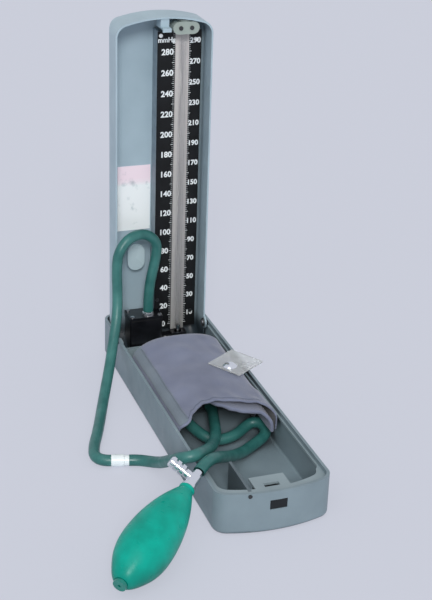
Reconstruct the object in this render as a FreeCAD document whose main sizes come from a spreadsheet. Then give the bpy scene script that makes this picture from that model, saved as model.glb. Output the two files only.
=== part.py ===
"""Desk mercury sphygmomanometer, set out ready for use.

Millimetres, +Z up.  The origin is on the table, at the middle of the base's
footprint.  +Y points to the raised lid, +X to the right of someone who faces
the scale.
"""
import FreeCAD, Part
import Sketcher
import math
import os
from FreeCAD import Placement, Rotation, Vector

doc = FreeCAD.newDocument("sphygmomanometer")

# ---------------------------------------------------------------- sizes
SIZES = {
    # base tray
    "base_length": 350.0,
    "base_width": 100.0,
    "base_height": 38.0,
    "base_wall": 2.5,
    "base_floor": 2.5,
    "front_bow": 9.2,
    "front_corner": 12.5,
    "rear_corner": 12.0,
    "bottom_round": 4.0,
    # inner frame that the shut lid rests on
    "frame_drop": 4.0,
    "frame_thickness": 2.0,
    "frame_band": 7.0,
    "frame_side_band": 4.0,
    "frame_front_band": 12.5,
    "frame_tongue": 30.5,
    "frame_tongue_half": 15.0,
    "frame_left_end": 67.0,
    "frame_right_end": 26.0,
    "rivet_radius": 1.7,
    "rivet_front_x": -24.0,
    "rivet_left_setback": 23.5,
    "rivet_right_setback": 99.5,
    "divider_left": -21.6,
    "divider_sheet": 2.4,
    "divider_length": 49.0,
    "divider_gap": 0.2,
    # lid and its pivot
    "pivot_setback": 35.5,
    "seat_gap": 0.3,
    "lid_side_gap": 1.5,
    "lid_end_gap": 4.3,
    "lid_depth": 30.0,
    "lid_wall": 1.5,
    "lid_corner": 9.5,
    "lid_top_corner": 12.5,
    "lid_bow": 7.8,
    "pin_radius": 2.5,
    "bush_wall": 1.5,
    "running_gap": 0.08,
    "stop_drop": 17.8,
    "stop_thickness": 4.0,
    # scale and tube
    "scale_setback": 14.0,
    "scale_sheet": 1.2,
    "scale_side_gap": 4.8,
    "scale_width": 42.4,
    "scale_foot_drop": 8.3,
    "scale_head_gap": 16.0,
    "tube_inset": 18.9,
    "tube_radius": 3.75,
    "tube_bore": 2.0,
    "tube_head_gap": 11.0,
    "backing_width": 13.0,
    "backing_thickness": 1.2,
    "zero_drop": 3.8,
    # label and hose keeper on the lid's back
    "label_lift": 94.7,
    "label_height": 65.5,
    "label_sheet": 0.4,
    "keeper_x": -19.5,
    "keeper_lift": 68.7,
    "keeper_radius": 8.5,
    "keeper_straight": 5.0,
    "keeper_reach": 8.0,
    # reservoir casting
    "pot_side_gap": 14.5,
    "pot_overlap": 5.7,
    "pot_wall": 2.5,
    "pot_rise": 7.7,
    "pot_drop": 22.3,
    "pot_setback": 2.5,
    "pot_depth": 22.0,
    "mercury_rise": 1.7,
    "duct_radius": 1.4,
    "duct_drop": 17.3,
    "gasket_thickness": 0.8,
    "cover_thickness": 3.0,
    "nozzle_radius": 5.5,
    "nozzle_height": 4.2,
    "nozzle_inset": 13.5,
    "cock_side_gap": 5.5,
    "cock_radius": 3.0,
    # latch
    "button_width": 14.0,
    "button_height": 7.8,
    "button_drop": 10.0,
    "button_gap": 0.4,
    "strike_setback": 7.3,
    "latch_travel": 3.0,
    "latch_sheet": 1.5,
    "spring_length": 5.0,
    "spring_radius": 2.5,
    "spring_wire": 0.5,
    # cuff
    "cuff_front": -50.0,
    "cuff_rear": 103.0,
    "cuff_left_gap": 4.0,
    "cuff_right_gap": 1.0,
    "cuff_side_height": 37.0,
    "cuff_crown": 47.0,
    "cuff_gap": 0.4,
    "cuff_layer": 4.0,
    "mouth_inset": 12.0,
    "bladder_front": 18.0,
    "bladder_rear": 96.0,
    "bladder_inset": 8.0,
    "bladder_bottom": 8.0,
    "bladder_top": 20.0,
    "tab_length": 36.0,
    "tab_width": 36.0,
    "tab_sheet": 1.0,
    "tab_clearance": 1.2,
    "stud_inset": 18.0,
    "stud_radius": 6.5,
    # hoses and their fittings
    "hose_radius": 5.0,
    "coupling_radius": 5.3,
    "coupling_split": 8.5,
    "bulb_azimuth": 44.0,
    "bulb_tilt": 12.9,
    "bulb_radius": 21.6,
    "bulb_length": 106.5,
    "bulb_widest": 68.0,
    "bulb_wall": 2.6,
    "neck_radius": 6.3,
    "neck_length": 4.0,
    "spigot_radius": 3.8,
    "valve_length": 20.0,
    "valve_radius": 5.0,
    "knob_lift": 35.0,
    "knob_radius": 4.8,
    "knob_length": 14.5,
    "stem_radius": 2.3,
}

# Routes of the hoses: control points of each line, chosen by hand.
MANOMETER_ROUTE = [
    (-10.5, 148, 50), (-10.5, 148, 64), (-8.5, 147.5, 84), (-4, 147, 104), (-2.5, 145.5, 123),
    (-16, 142, 135.2), (-33, 137, 134.8), (-45.6, 133.2, 121.5), (-47, 132.8, 101),
    (-46.7, 130, 78.3), (-49.5, 122.5, 59), (-56.5, 110, 42), (-65, 92, 25), (-75.5, 70, 12),
    (-85, 47, 6), (-93, 25, 5.4), (-101, 4, 5.4), (-109, -15, 5.4), (-113, -31, 5.4),
    (-108, -40.13, 5.4), (-101, -42, 5.4),
]
CUFF_ROUTE = [
    (-86, -46, 5.4), (-78.5, -48, 5.4), (-72, -52.8, 6), (-67.8, -60.5, 8.8),
    (-65.4, -71.5, 14.5), (-64.4, -85, 23.5), (-64, -98, 32.2), (-63.9, -107.3, 38.8),
    (-63, -113.4, 42.8), (-59, -118.2, 45.6), (-52.4, -119.4, 46.8), (-46.6, -115.2, 45.6),
    (-40.5, -107.6, 41.8), (-33.6, -97.8, 37), (-24.8, -84.5, 31.2), (-16, -68, 26.2),
    (-8, -47.5, 22.4), (-2, -26.5, 19), (3.5, -8, 15.2), (6.5, 2, 14), (6.5, 10, 14),
]
BULB_ROUTE = [
    (-54.5, -136.6, 42.2), (-48.54, -130.844, 44.098), (-41, -124.4, 44),
    (-33, -117, 40.2), (-24, -106, 33), (-12.5, -92, 23), (0, -78, 14.4), (11.5, -67, 9.6),
    (21.5, -58.5, 8.2), (30.6, -52.5, 8.4), (39, -47.2, 10.2), (41.9, -39.9, 12.8),
    (39.2, -32.6, 15.2), (32.4, -29, 14.4), (25, -31.4, 11.4), (16.2, -36.2, 8.8),
    (6, -39.9, 8.2), (-4.5, -40.6, 8.6), (-12.8, -36.6, 10.4), (-18.2, -27.5, 12.8),
    (-21.7, -16.5, 14), (-23, -5.5, 14), (-23, 5, 14),
]

# ---------------------------------------------------------------- sheet
sheet = doc.addObject("Spreadsheet::Sheet", "P")
for row, (alias, value) in enumerate(SIZES.items(), start=1):
    cell = "A%d" % row
    sheet.set(cell, "%s" % value)
    sheet.setAlias(cell, alias)
doc.recompute()


class Size:
    """A length together with the sheet expression that gives it."""

    def __init__(self, value, text):
        self.value = float(value)
        self.text = text

    def __add__(self, other):
        return Size(self.value + number(other), "(%s + %s)" % (self.text, text(other)))

    def __sub__(self, other):
        return Size(self.value - number(other), "(%s - %s)" % (self.text, text(other)))

    def __mul__(self, other):
        return Size(self.value * number(other), "(%s * %s)" % (self.text, text(other)))

    def __truediv__(self, other):
        return Size(self.value / number(other), "(%s / %s)" % (self.text, text(other)))

    def __neg__(self):
        return Size(-self.value, "(0 - %s)" % self.text)

    def __radd__(self, other):
        return plain(other) + self

    def __rsub__(self, other):
        return plain(other) - self

    def __rmul__(self, other):
        return plain(other) * self


def number(x):
    return x.value if isinstance(x, Size) else float(x)


def text(x):
    return x.text if isinstance(x, Size) else repr(float(x))


def plain(x):
    return x if isinstance(x, Size) else Size(x, repr(float(x)))


def root(x):
    return Size(math.sqrt(x.value), "sqrt(%s)" % x.text)


class Sheet:
    """P.name is the size that the sheet keeps under that alias."""

    def __getattr__(self, name):
        return Size(SIZES[name], "P.%s" % name)


P = Sheet()


# ---------------------------------------------------------------- shaping
def place(obj, base, rotation=None):
    """Put an object at a point whose coordinates stay bound to the sheet."""
    obj.Placement = Placement(Vector(*[number(c) for c in base]), rotation or Rotation())
    for axis, coordinate in zip("xyz", base):
        obj.setExpression("Placement.Base." + axis, text(coordinate))
    return obj


def box(name, low, high):
    block = doc.addObject("Part::Box", name)
    for prop, a, b in zip(("Length", "Width", "Height"), low, high):
        block.setExpression(prop, text(plain(b) - a))
    return place(block, low)


TURN = {"x": Rotation(Vector(0, 1, 0), 90), "y": Rotation(Vector(1, 0, 0), -90), "z": Rotation()}


def rod(name, start, radius, length, axis="z"):
    cylinder = doc.addObject("Part::Cylinder", name)
    cylinder.setExpression("Radius", text(radius))
    cylinder.setExpression("Height", text(length))
    return place(cylinder, start, TURN[axis])


def fuse(name, *shapes):
    union = doc.addObject("Part::MultiFuse", name)
    union.Shapes = list(shapes)
    return union


def cut(name, base, *tools):
    cutter = tools[0] if len(tools) == 1 else fuse(name + "_tools", *tools)
    result = doc.addObject("Part::Cut", name)
    result.Base = base
    result.Tool = cutter
    return result


def common(name, *shapes):
    result = doc.addObject("Part::MultiCommon", name)
    result.Shapes = list(shapes)
    return result


def group(name, *solids):
    """Identical fasteners in one node, as separate solids."""
    result = doc.addObject("Part::Compound", name)
    result.Links = list(solids)
    return result


def arc_between(a, b, radius, side):
    """The counter-clockwise arc of a radius from a to b, and whether it runs from a to b.

    side is 1 where the arc bulges to the left of the way from a to b, or -1.
    """
    chord = b - a
    half = chord.Length / 2
    rise = radius - math.sqrt(max(radius * radius - half * half, 0.0))
    across = Vector(-chord.y, chord.x, 0).normalize() * side
    centre = (a + b) / 2 + across * (rise - radius)
    first, last = (a, b) if side < 0 else (b, a)
    start = math.atan2(first.y - centre.y, first.x - centre.x)
    end = math.atan2(last.y - centre.y, last.x - centre.x)
    if end < start:
        end += 2 * math.pi
    circle = Part.Circle(centre, Vector(0, 0, 1), radius)
    return Part.ArcOfCircle(circle, start, end), side < 0


def fixed_point(sketch, geometry, end, x, y):
    for kind, axis_line, value in (("DistanceX", -2, x), ("DistanceY", -1, y)):
        if abs(number(value)) < 1e-9 and not isinstance(value, Size):
            sketch.addConstraint(Sketcher.Constraint("PointOnObject", geometry, end, axis_line))
            continue
        index = sketch.addConstraint(
            Sketcher.Constraint(kind, -1, 1, geometry, end, number(value)))
        sketch.setExpression("Constraints[%d]" % index, text(value))


def outline(body, plane, name, points, arcs=None, offset=0.0):
    """A closed sketch on one of the body's planes.

    points are (x, y) sizes.  arcs gives, for a side that leaves point i as an
    arc, its (radius, bulge side) pair.
    """
    arcs = arcs or {}
    sketch = body.newObject("Sketcher::SketchObject", name)
    origin = [f for f in body.Origin.OriginFeatures if f.Role == plane][0]
    sketch.AttachmentSupport = [(origin, "")]
    sketch.MapMode = "FlatFace"
    if isinstance(offset, Size) or offset:
        sketch.AttachmentOffset = Placement(Vector(0, 0, number(offset)), Rotation())
        sketch.setExpression("AttachmentOffset.Base.z", text(offset))
    corners = [Vector(number(x), number(y), 0) for x, y in points]
    ends = []
    for i, here in enumerate(corners):
        there = corners[(i + 1) % len(corners)]
        if i in arcs:
            curve, forward = arc_between(here, there, number(arcs[i][0]), arcs[i][1])
            sketch.addGeometry(curve, False)
            ends.append((1, 2) if forward else (2, 1))
        else:
            sketch.addGeometry(Part.LineSegment(here, there), False)
            ends.append((1, 2))
    for i, (x, y) in enumerate(points):
        previous = (i - 1) % len(points)
        sketch.addConstraint(
            Sketcher.Constraint("Coincident", previous, ends[previous][1], i, ends[i][0]))
        fixed_point(sketch, i, ends[i][0], x, y)
    for i, (radius, _) in arcs.items():
        index = sketch.addConstraint(Sketcher.Constraint("Radius", i, number(radius)))
        sketch.setExpression("Constraints[%d]" % index, text(radius))
    return sketch


def pad(body, sketch, name, length, reverse=False):
    feature = body.newObject("PartDesign::Pad", name)
    feature.Profile = sketch
    feature.setExpression("Length", text(length))
    feature.Reversed = reverse
    doc.recompute()
    return feature


def round_edges(body, feature, name, radius, wanted):
    """Fillet the feature's edges for which wanted(edge) is true."""
    doc.recompute()
    chosen = ["Edge%d" % i for i, edge in enumerate(feature.Shape.Edges, 1) if wanted(edge)]
    if not chosen:
        raise RuntimeError("no edge to round for " + name)
    fillet = body.newObject("PartDesign::Fillet", name)
    fillet.Base = (feature, chosen)
    fillet.setExpression("Radius", text(radius))
    doc.recompute()
    return fillet


def direction(edge):
    return edge.tangentAt(edge.FirstParameter)


def bow_radius(width, bow):
    return (width * width / 4 + bow * bow) / (bow * 2)


def lathe(name, points, arcs=None):
    """A solid turned about the local Z axis; points are (radius, height)."""
    body = doc.addObject("PartDesign::Body", name)
    sketch = outline(body, "XZ_Plane", name + "_section", points, arcs)
    turned = body.newObject("PartDesign::Revolution", name + "_turned")
    turned.Profile = sketch
    turned.ReferenceAxis = (sketch, ["V_Axis"])
    turned.Angle = 360
    doc.recompute()
    return body


def steps(*stages):
    """Section of a stepped turning: (radius, from height, to height) stages, end to end."""
    points = [(0.0, stages[0][1])]
    for radius, low, high in stages:
        points += [(radius, low), (radius, high)]
    points.append((0.0, stages[-1][2]))
    return points


# ---------------------------------------------------------------- datums
floor_top = P.base_floor + 0.0
pivot_y = P.base_length / 2 - P.pivot_setback
frame_top = P.base_height - P.frame_drop
frame_bottom = frame_top - P.frame_thickness
pivot_z = frame_top + P.seat_gap
lid_reach = P.base_length - P.pivot_setback - P.base_wall - P.lid_end_gap
lid_top = pivot_z + lid_reach
lid_width = P.base_width - (P.base_wall + P.lid_side_gap) * 2
lid_half = lid_width / 2
back_inside = pivot_y + P.lid_depth - P.lid_wall
scale_front = pivot_y + P.scale_setback
scale_right = lid_half - P.lid_wall - P.scale_side_gap
scale_left = scale_right - P.scale_width
scale_bottom = pivot_z - P.scale_foot_drop
scale_top = lid_top - P.scale_head_gap
tube_x = scale_right - P.tube_inset
tube_top = lid_top - P.tube_head_gap
zero_height = pivot_z - P.zero_drop
tube_y = scale_front - P.backing_thickness - P.tube_radius
nose_y = -(P.base_length / 2)

sub_parts = []


def keep(obj, name):
    obj.Label = name
    sub_parts.append(obj)
    return obj


def find(name):
    return [part for part in sub_parts if part.Label == name][0]


def front_face(x):
    """The front wall's outer face at a distance x from the middle."""
    radius = bow_radius(P.base_width, P.front_bow)
    return nose_y + radius - root(radius * radius - plain(x) * x)


# ---------------------------------------------------------------- base
def tray_block(name, inset, low, high, bottom_radius=None):
    """The tray's plan shape, drawn in by inset, between two heights."""
    half = P.base_width / 2 - inset
    rear = P.base_length / 2 - inset
    shoulder = nose_y + P.front_bow + inset
    body = doc.addObject("PartDesign::Body", name)
    plan = outline(
        body, "XY_Plane", name + "_plan",
        [(-half, rear), (-half, shoulder), (half, shoulder), (half, rear)],
        {1: (bow_radius(half * 2, P.front_bow), -1)}, offset=low)
    solid = pad(body, plan, name + "_pad", plain(high) - low)

    def upright(front):
        return lambda edge: (
            abs(direction(edge).z) > 0.99
            and (edge.CenterOfMass.y < 0) == front)

    solid = round_edges(body, solid, name + "_front", P.front_corner - inset, upright(True))
    solid = round_edges(body, solid, name + "_rear", P.rear_corner - inset, upright(False))
    if bottom_radius is not None:
        bottom = number(low)
        solid = round_edges(
            body, solid, name + "_bottom", bottom_radius,
            lambda edge: abs(edge.BoundBox.ZMax - bottom) < 1e-6)
    return body


divider_front = nose_y + P.frame_front_band - 3
rivet_height = frame_top + P.rivet_radius
RIVETS = {
    # name: (outer face point, direction into the tray)
    "front": ((P.rivet_front_x, front_face(P.rivet_front_x), rivet_height), "y", 1),
    "left": ((-(P.base_width / 2), pivot_y - P.rivet_left_setback, rivet_height), "x", 1),
    "right": ((P.base_width / 2, pivot_y - P.rivet_right_setback, rivet_height), "x", -1),
}
tab_width = plain(9.0)
tab_sheet = plain(1.5)
rivet_head = plain(0.7)
rivet_shank = P.rivet_radius * 0.6


def along(axis, point, start, length, sign, radius, name):
    """A rod that starts at a distance from a face point and runs into the tray."""
    point = list(point)
    index = "xyz".index(axis)
    begin = plain(start) if sign > 0 else -(plain(start) + length)
    point[index] = point[index] + begin
    return rod(name, point, radius, length, axis)


def make_base():
    outside = tray_block("tray_outside", plain(0.0), plain(0.0), P.base_height, P.bottom_round)
    inside = tray_block("tray_inside", P.base_wall, floor_top, P.base_height + 1,
                        P.bottom_round - P.base_wall + 0.5)
    window_half = P.button_width / 2 + P.button_gap
    window = box("button_window",
                 (-window_half, nose_y - 1, button_bottom - P.button_gap),
                 (window_half, nose_y + P.base_wall * 2,
                  button_bottom + P.button_height + P.button_gap))
    pin_holes = rod("tray_pin_holes", (-P.base_width / 2 - 1, pivot_y, pivot_z),
                    P.pin_radius, P.base_width + 2, "x")
    rivet_holes = [
        along(axis, point, -2, P.base_wall + 4, sign, rivet_shank, "tray_hole_" + key)
        for key, (point, axis, sign) in RIVETS.items()]
    keep(cut("base_tray", outside, inside, window, pin_holes, *rivet_holes), "base_tray")


def make_frame():
    """The flat band inside the rim that the shut lid rests on."""
    plate = tray_block("frame_plate", P.base_wall, frame_bottom, frame_top)
    half = P.base_width / 2 - P.frame_band
    side = P.base_width / 2 - P.frame_side_band
    front = nose_y + P.frame_front_band
    rear = P.base_length / 2
    opening = doc.addObject("PartDesign::Body", "frame_opening")
    plan = outline(
        opening, "XY_Plane", "frame_opening_plan",
        [(-half, rear), (-half, front + P.front_bow), (half, front + P.front_bow), (half, rear)],
        {1: (bow_radius(half * 2, P.front_bow), -1)}, offset=frame_bottom - 1)
    solid = pad(opening, plan, "frame_opening_pad", P.frame_thickness + 2)
    round_edges(opening, solid, "frame_opening_corner", P.front_corner - P.base_wall,
                lambda edge: abs(direction(edge).z) > 0.99 and edge.CenterOfMass.y < 0)
    rooms = []
    for key, sign, end in (("left", -1, P.frame_left_end), ("right", 1, P.frame_right_end)):
        room = doc.addObject("PartDesign::Body", "frame_room_" + key)
        plan = outline(room, "XY_Plane", "frame_room_plan_" + key,
                       [(0.0, rear), (0.0, nose_y + end), (side * sign, nose_y + end),
                        (side * sign, rear)], offset=frame_bottom - 1)
        solid = pad(room, plan, "frame_room_pad_" + key, P.frame_thickness + 2)
        round_edges(room, solid, "frame_room_corner_" + key, 8.0,
                    lambda edge: (abs(direction(edge).z) > 0.99 and edge.CenterOfMass.y < 0
                                  and abs(edge.CenterOfMass.x) > 1))
        rooms.append(room)
    tongue = box("frame_tongue", (-P.frame_tongue_half, front - 4, frame_bottom),
                 (P.frame_tongue_half, nose_y + P.frame_tongue, frame_top))
    notch = box("frame_divider_notch",
                (P.divider_left - P.divider_gap, divider_front - P.divider_gap,
                 frame_bottom - 1),
                (P.divider_left + P.divider_sheet + P.divider_gap, front + P.front_bow,
                 frame_top + 1))
    lid_bay = box("frame_lid_bay", (-P.base_width / 2, pivot_y - 8, frame_bottom - 1),
                  (P.base_width / 2, rear, frame_top + 1))
    slot = box("frame_latch_slot", (-strike_half - 2.5, strike_y - 1.2, frame_bottom - 1),
               (strike_half + 2.5, strike_y + 4, frame_top + 1))
    tabs = []
    holes = []
    for key, (point, axis, sign) in RIVETS.items():
        index = "xyz".index(axis)
        low = [point[0] - tab_width / 2, point[1] - tab_width / 2, frame_bottom]
        high = [point[0] + tab_width / 2, point[1] + tab_width / 2, P.base_height - 0.3]
        ends = (point[index], point[index] + (P.base_wall + tab_sheet) * sign)
        low[index], high[index] = sorted(ends, key=number)
        tabs.append(box("frame_tab_" + key, low, high))
        holes.append(along(axis, point, -2, P.base_wall + 4, sign, rivet_shank,
                           "frame_hole_" + key))
    room = tray_block("frame_tab_room", P.base_wall, frame_bottom, P.base_height)
    bent_up = common("frame_tabs", fuse("frame_tab_blocks", *tabs), room)
    ring = cut("frame_ring", plate, opening, lid_bay, *rooms)
    band = cut("frame_band_flat", fuse("frame_ring_with_tongue", ring, tongue), slot, notch)
    keep(cut("rim_frame", fuse("frame_with_tabs", band, bent_up), *holes), "rim_frame")

    rivets = []
    wall = cut("rivet_wall", tray_block("rivet_outside", plain(0.0), frame_bottom, P.base_height),
               *[along(axis, point, -2, P.base_wall + 4, sign, rivet_shank, "rivet_hole_" + key)
                 for key, (point, axis, sign) in RIVETS.items()])
    for key, (point, axis, sign) in RIVETS.items():
        grip = P.base_wall + tab_sheet
        head = cut("rivet_head_" + key,
                   along(axis, point, -rivet_head, rivet_head * 2, sign, P.rivet_radius,
                         "rivet_head_blank_" + key), wall)
        shank = along(axis, point, 0.0, grip, sign, rivet_shank, "rivet_shank_" + key)
        tail = along(axis, point, grip, rivet_head, sign, P.rivet_radius, "rivet_tail_" + key)
        rivets.append(fuse("rivet_" + key, head, shank, tail))
    keep(group("frame_rivets", *rivets), "frame_rivets")


def make_base_fittings():
    keep(box("bay_divider", (P.divider_left, divider_front, floor_top),
             (P.divider_left + P.divider_sheet, divider_front + P.divider_length,
              frame_top)), "bay_divider")
    bar = box("stop_bar", (-lid_half + 2, pivot_y - P.seat_gap - P.stop_thickness, floor_top),
              (lid_half - 2, pivot_y - P.seat_gap, pivot_z - P.stop_drop))
    keep(bar, "lid_stop_bar")
    pins = []
    for side, start in (("left", -P.base_width / 2), ("right", lid_half - 3.5)):
        pins.append(rod("hinge_pin_" + side, (start, pivot_y, pivot_z), P.pin_radius,
                        P.base_width / 2 - lid_half + 3.5, "x"))
    keep(group("hinge_pins", *pins), "hinge_pins")


# ---------------------------------------------------------------- latch
button_bottom = frame_bottom - P.button_drop
strike_half = plain(4.0)
strike_sheet = P.latch_sheet
strike_z = lid_top - P.lid_wall - P.strike_setback
strike_y = pivot_y - (strike_z - pivot_z)
strike_nose = 2.0
strike_reach = 6.4


def make_latch():
    button = box("button_block", (-P.button_width / 2, nose_y + 0.4, button_bottom),
                 (P.button_width / 2, strike_y - P.latch_travel - 0.5,
                  button_bottom + P.button_height))
    keep(button, "latch_button")

    plate_bottom = button_bottom + P.button_height
    rear = strike_y + 8
    plate = box("slider_plate", (-9.0, strike_y - 5, plate_bottom),
                (9.0, rear, plate_bottom + P.latch_sheet))
    window = box("slider_window", (-strike_half - 1, strike_y - P.latch_travel - 0.8,
                                   plate_bottom - 1),
                 (strike_half + 1, strike_y + strike_sheet + 0.9, plate_bottom + 4))
    leg = box("slider_leg", (-9.0, rear - P.latch_sheet, button_bottom),
              (9.0, rear, plate_bottom + P.latch_sheet))
    keep(cut("slider_body", fuse("slider_blank", plate, leg), window), "latch_slider")

    anchor = rear + P.spring_length
    cheek = 11.0
    wall_front = front_face(cheek) + P.base_wall + 0.6
    outer = box("housing_outer", (-cheek, wall_front, button_bottom - 3),
                (cheek, anchor + P.latch_sheet, frame_bottom - 0.2))
    inner = box("housing_inner", (P.latch_sheet - cheek, wall_front - 1,
                                  button_bottom - 3 + P.latch_sheet),
                (cheek - P.latch_sheet, anchor, frame_bottom + 1))
    keep(cut("housing_body", outer, inner), "latch_housing")
    return rear, anchor


def coil(name, start, length, radius, wire, turns):
    """A compression spring along +Y from a point on its axis, its wire ends inside length."""
    pitch = (length - wire * 1.2) / turns
    helix = Part.makeHelix(pitch, pitch * turns, radius - wire / 2)
    profile = Part.Wire(Part.makeCircle(wire / 2, Vector(radius - wire / 2, 0, 0), Vector(0, 1, 0)))
    solid = Part.Wire(helix).makePipeShell([profile], True, True)
    feature = doc.addObject("Part::Feature", name)
    feature.Shape = solid
    lift = start + Vector(0, wire * 0.6, 0)
    feature.Placement = Placement(lift, TURN["y"])
    return feature


# ---------------------------------------------------------------- lid
def lid_block(name, inset):
    """The lid's outer shape, drawn in by inset, open at its rim plane.

    Its lower end is the plan section turned a quarter round the pivot, so it
    swings inside the tray.
    """
    half = lid_half - inset
    depth = P.lid_depth - inset
    corner = P.lid_corner - inset
    body = doc.addObject("PartDesign::Body", name)
    section = outline(
        body, "XY_Plane", name + "_section",
        [(-half, 0.0), (half, 0.0), (half, depth - corner), (half - corner, depth),
         (corner - half, depth), (-half, depth - corner)],
        {2: (corner, -1), 4: (corner, -1)})
    pad(body, section, name + "_pad", lid_reach + 2)
    turned = body.newObject("PartDesign::Revolution", name + "_heel")
    turned.Profile = section
    turned.ReferenceAxis = (section, ["H_Axis"])
    turned.Angle = 90
    turned.Reversed = True
    doc.recompute()
    place(body, (0.0, pivot_y, pivot_z))

    end = doc.addObject("PartDesign::Body", name + "_end")
    reach = lid_reach - inset
    face = outline(
        end, "XZ_Plane", name + "_face",
        [(-half, P.lid_depth * -2), (half, P.lid_depth * -2),
         (half, reach - P.lid_bow), (-half, reach - P.lid_bow)],
        {2: (bow_radius(half * 2, P.lid_bow), -1)})
    solid = pad(end, face, name + "_end_pad", P.lid_depth * 2)
    solid = round_edges(
        end, solid, name + "_end_corner", P.lid_top_corner - inset,
        lambda edge: abs(direction(edge).y) > 0.99 and edge.CenterOfMass.z > 0)
    end.setExpression("Placement.Base.y", text(pivot_y + P.lid_depth * 1.5))
    end.setExpression("Placement.Base.z", text(pivot_z))
    return common(name + "_shape", body, end)


def make_lid():
    outer = lid_block("lid_outer", plain(0.0))
    inner = lid_block("lid_inner", P.lid_wall)
    bush_radius = P.pin_radius + P.running_gap + P.bush_wall
    ears = [
        rod("lid_ear_%s" % side, (start, pivot_y, pivot_z), bush_radius + 2.5, P.lid_wall, "x")
        for side, start in (("left", -lid_half), ("right", lid_half - P.lid_wall))]
    bush_hole = rod("lid_bush_hole", (-lid_half - 1, pivot_y, pivot_z), bush_radius,
                    lid_width + 2, "x")
    screw_holes = [
        rod("lid_pot_hole_%d" % i, (x, back_inside - 1, pot_screw_z), 1.5, P.lid_wall + 2, "y")
        for i, x in enumerate(pot_screw_x)]
    shell = fuse("lid_with_ears", cut("lid_hollow", outer, inner), *ears)
    keep(cut("lid_body", shell, bush_hole, *screw_holes), "lid_shell")

    bushes = []
    for side, start in (("left", -lid_half - 1.0), ("right", lid_half - P.lid_wall - 1)):
        length = P.lid_wall + 2
        ring = rod("bush_outer_" + side, (start, pivot_y, pivot_z), bush_radius, length, "x")
        bore = rod("bush_bore_" + side, (start - 1, pivot_y, pivot_z),
                   P.pin_radius + P.running_gap, length + 2, "x")
        bushes.append(cut("bush_" + side, ring, bore))
    keep(group("hinge_bushes", *bushes), "hinge_bushes")

    blade = box("strike_blade", (-strike_half, pivot_y - strike_reach, strike_z - strike_sheet),
                (strike_half, pivot_y + 14, strike_z))
    nose = box("strike_nose", (-strike_half, pivot_y - strike_reach,
                               strike_z - strike_sheet - strike_nose),
               (strike_half, pivot_y - strike_reach + 1.5, strike_z - strike_sheet))
    pad_block = box("strike_pad_block", (-strike_half, pivot_y + 1, strike_z),
                    (strike_half, pivot_y + 14, lid_top))
    strike_pad = common("strike_pad", pad_block, lid_block("strike_room", P.lid_wall))
    keep(fuse("strike_body", blade, nose, strike_pad), "lid_strike")

    label_low = pivot_z + P.label_lift
    keep(box("label_body",
             (P.lid_corner - lid_half + 0.2, back_inside - P.label_sheet, label_low),
             (scale_left - 1.0, back_inside, label_low + P.label_height)), "label_plate")
    keeper_centre = (P.keeper_x, back_inside, pivot_z + P.keeper_lift)
    keeper = lozenge("keeper_head", keeper_centre, P.keeper_radius, P.keeper_straight,
                     P.keeper_reach, P.keeper_reach - 2)
    stem = lozenge("keeper_stem", keeper_centre, P.keeper_radius - 3, P.keeper_straight,
                   P.keeper_reach, 0.0)
    keep(fuse("keeper_body", keeper, stem), "hose_keeper")


def lozenge(name, centre, radius, straight, stand_off, gap):
    """An upright oval plate in front of the lid's back, from gap to stand_off away from it."""
    x, y, z = centre
    length = plain(stand_off) - gap
    low = rod(name + "_low", (x, y - stand_off, z - straight), radius, length, "y")
    high = rod(name + "_high", (x, y - stand_off, z + straight), radius, length, "y")
    middle = box(name + "_middle", (x - radius, y - stand_off, z - straight),
                 (x + radius, y - gap, z + straight))
    return fuse(name, low, middle, high)


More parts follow.
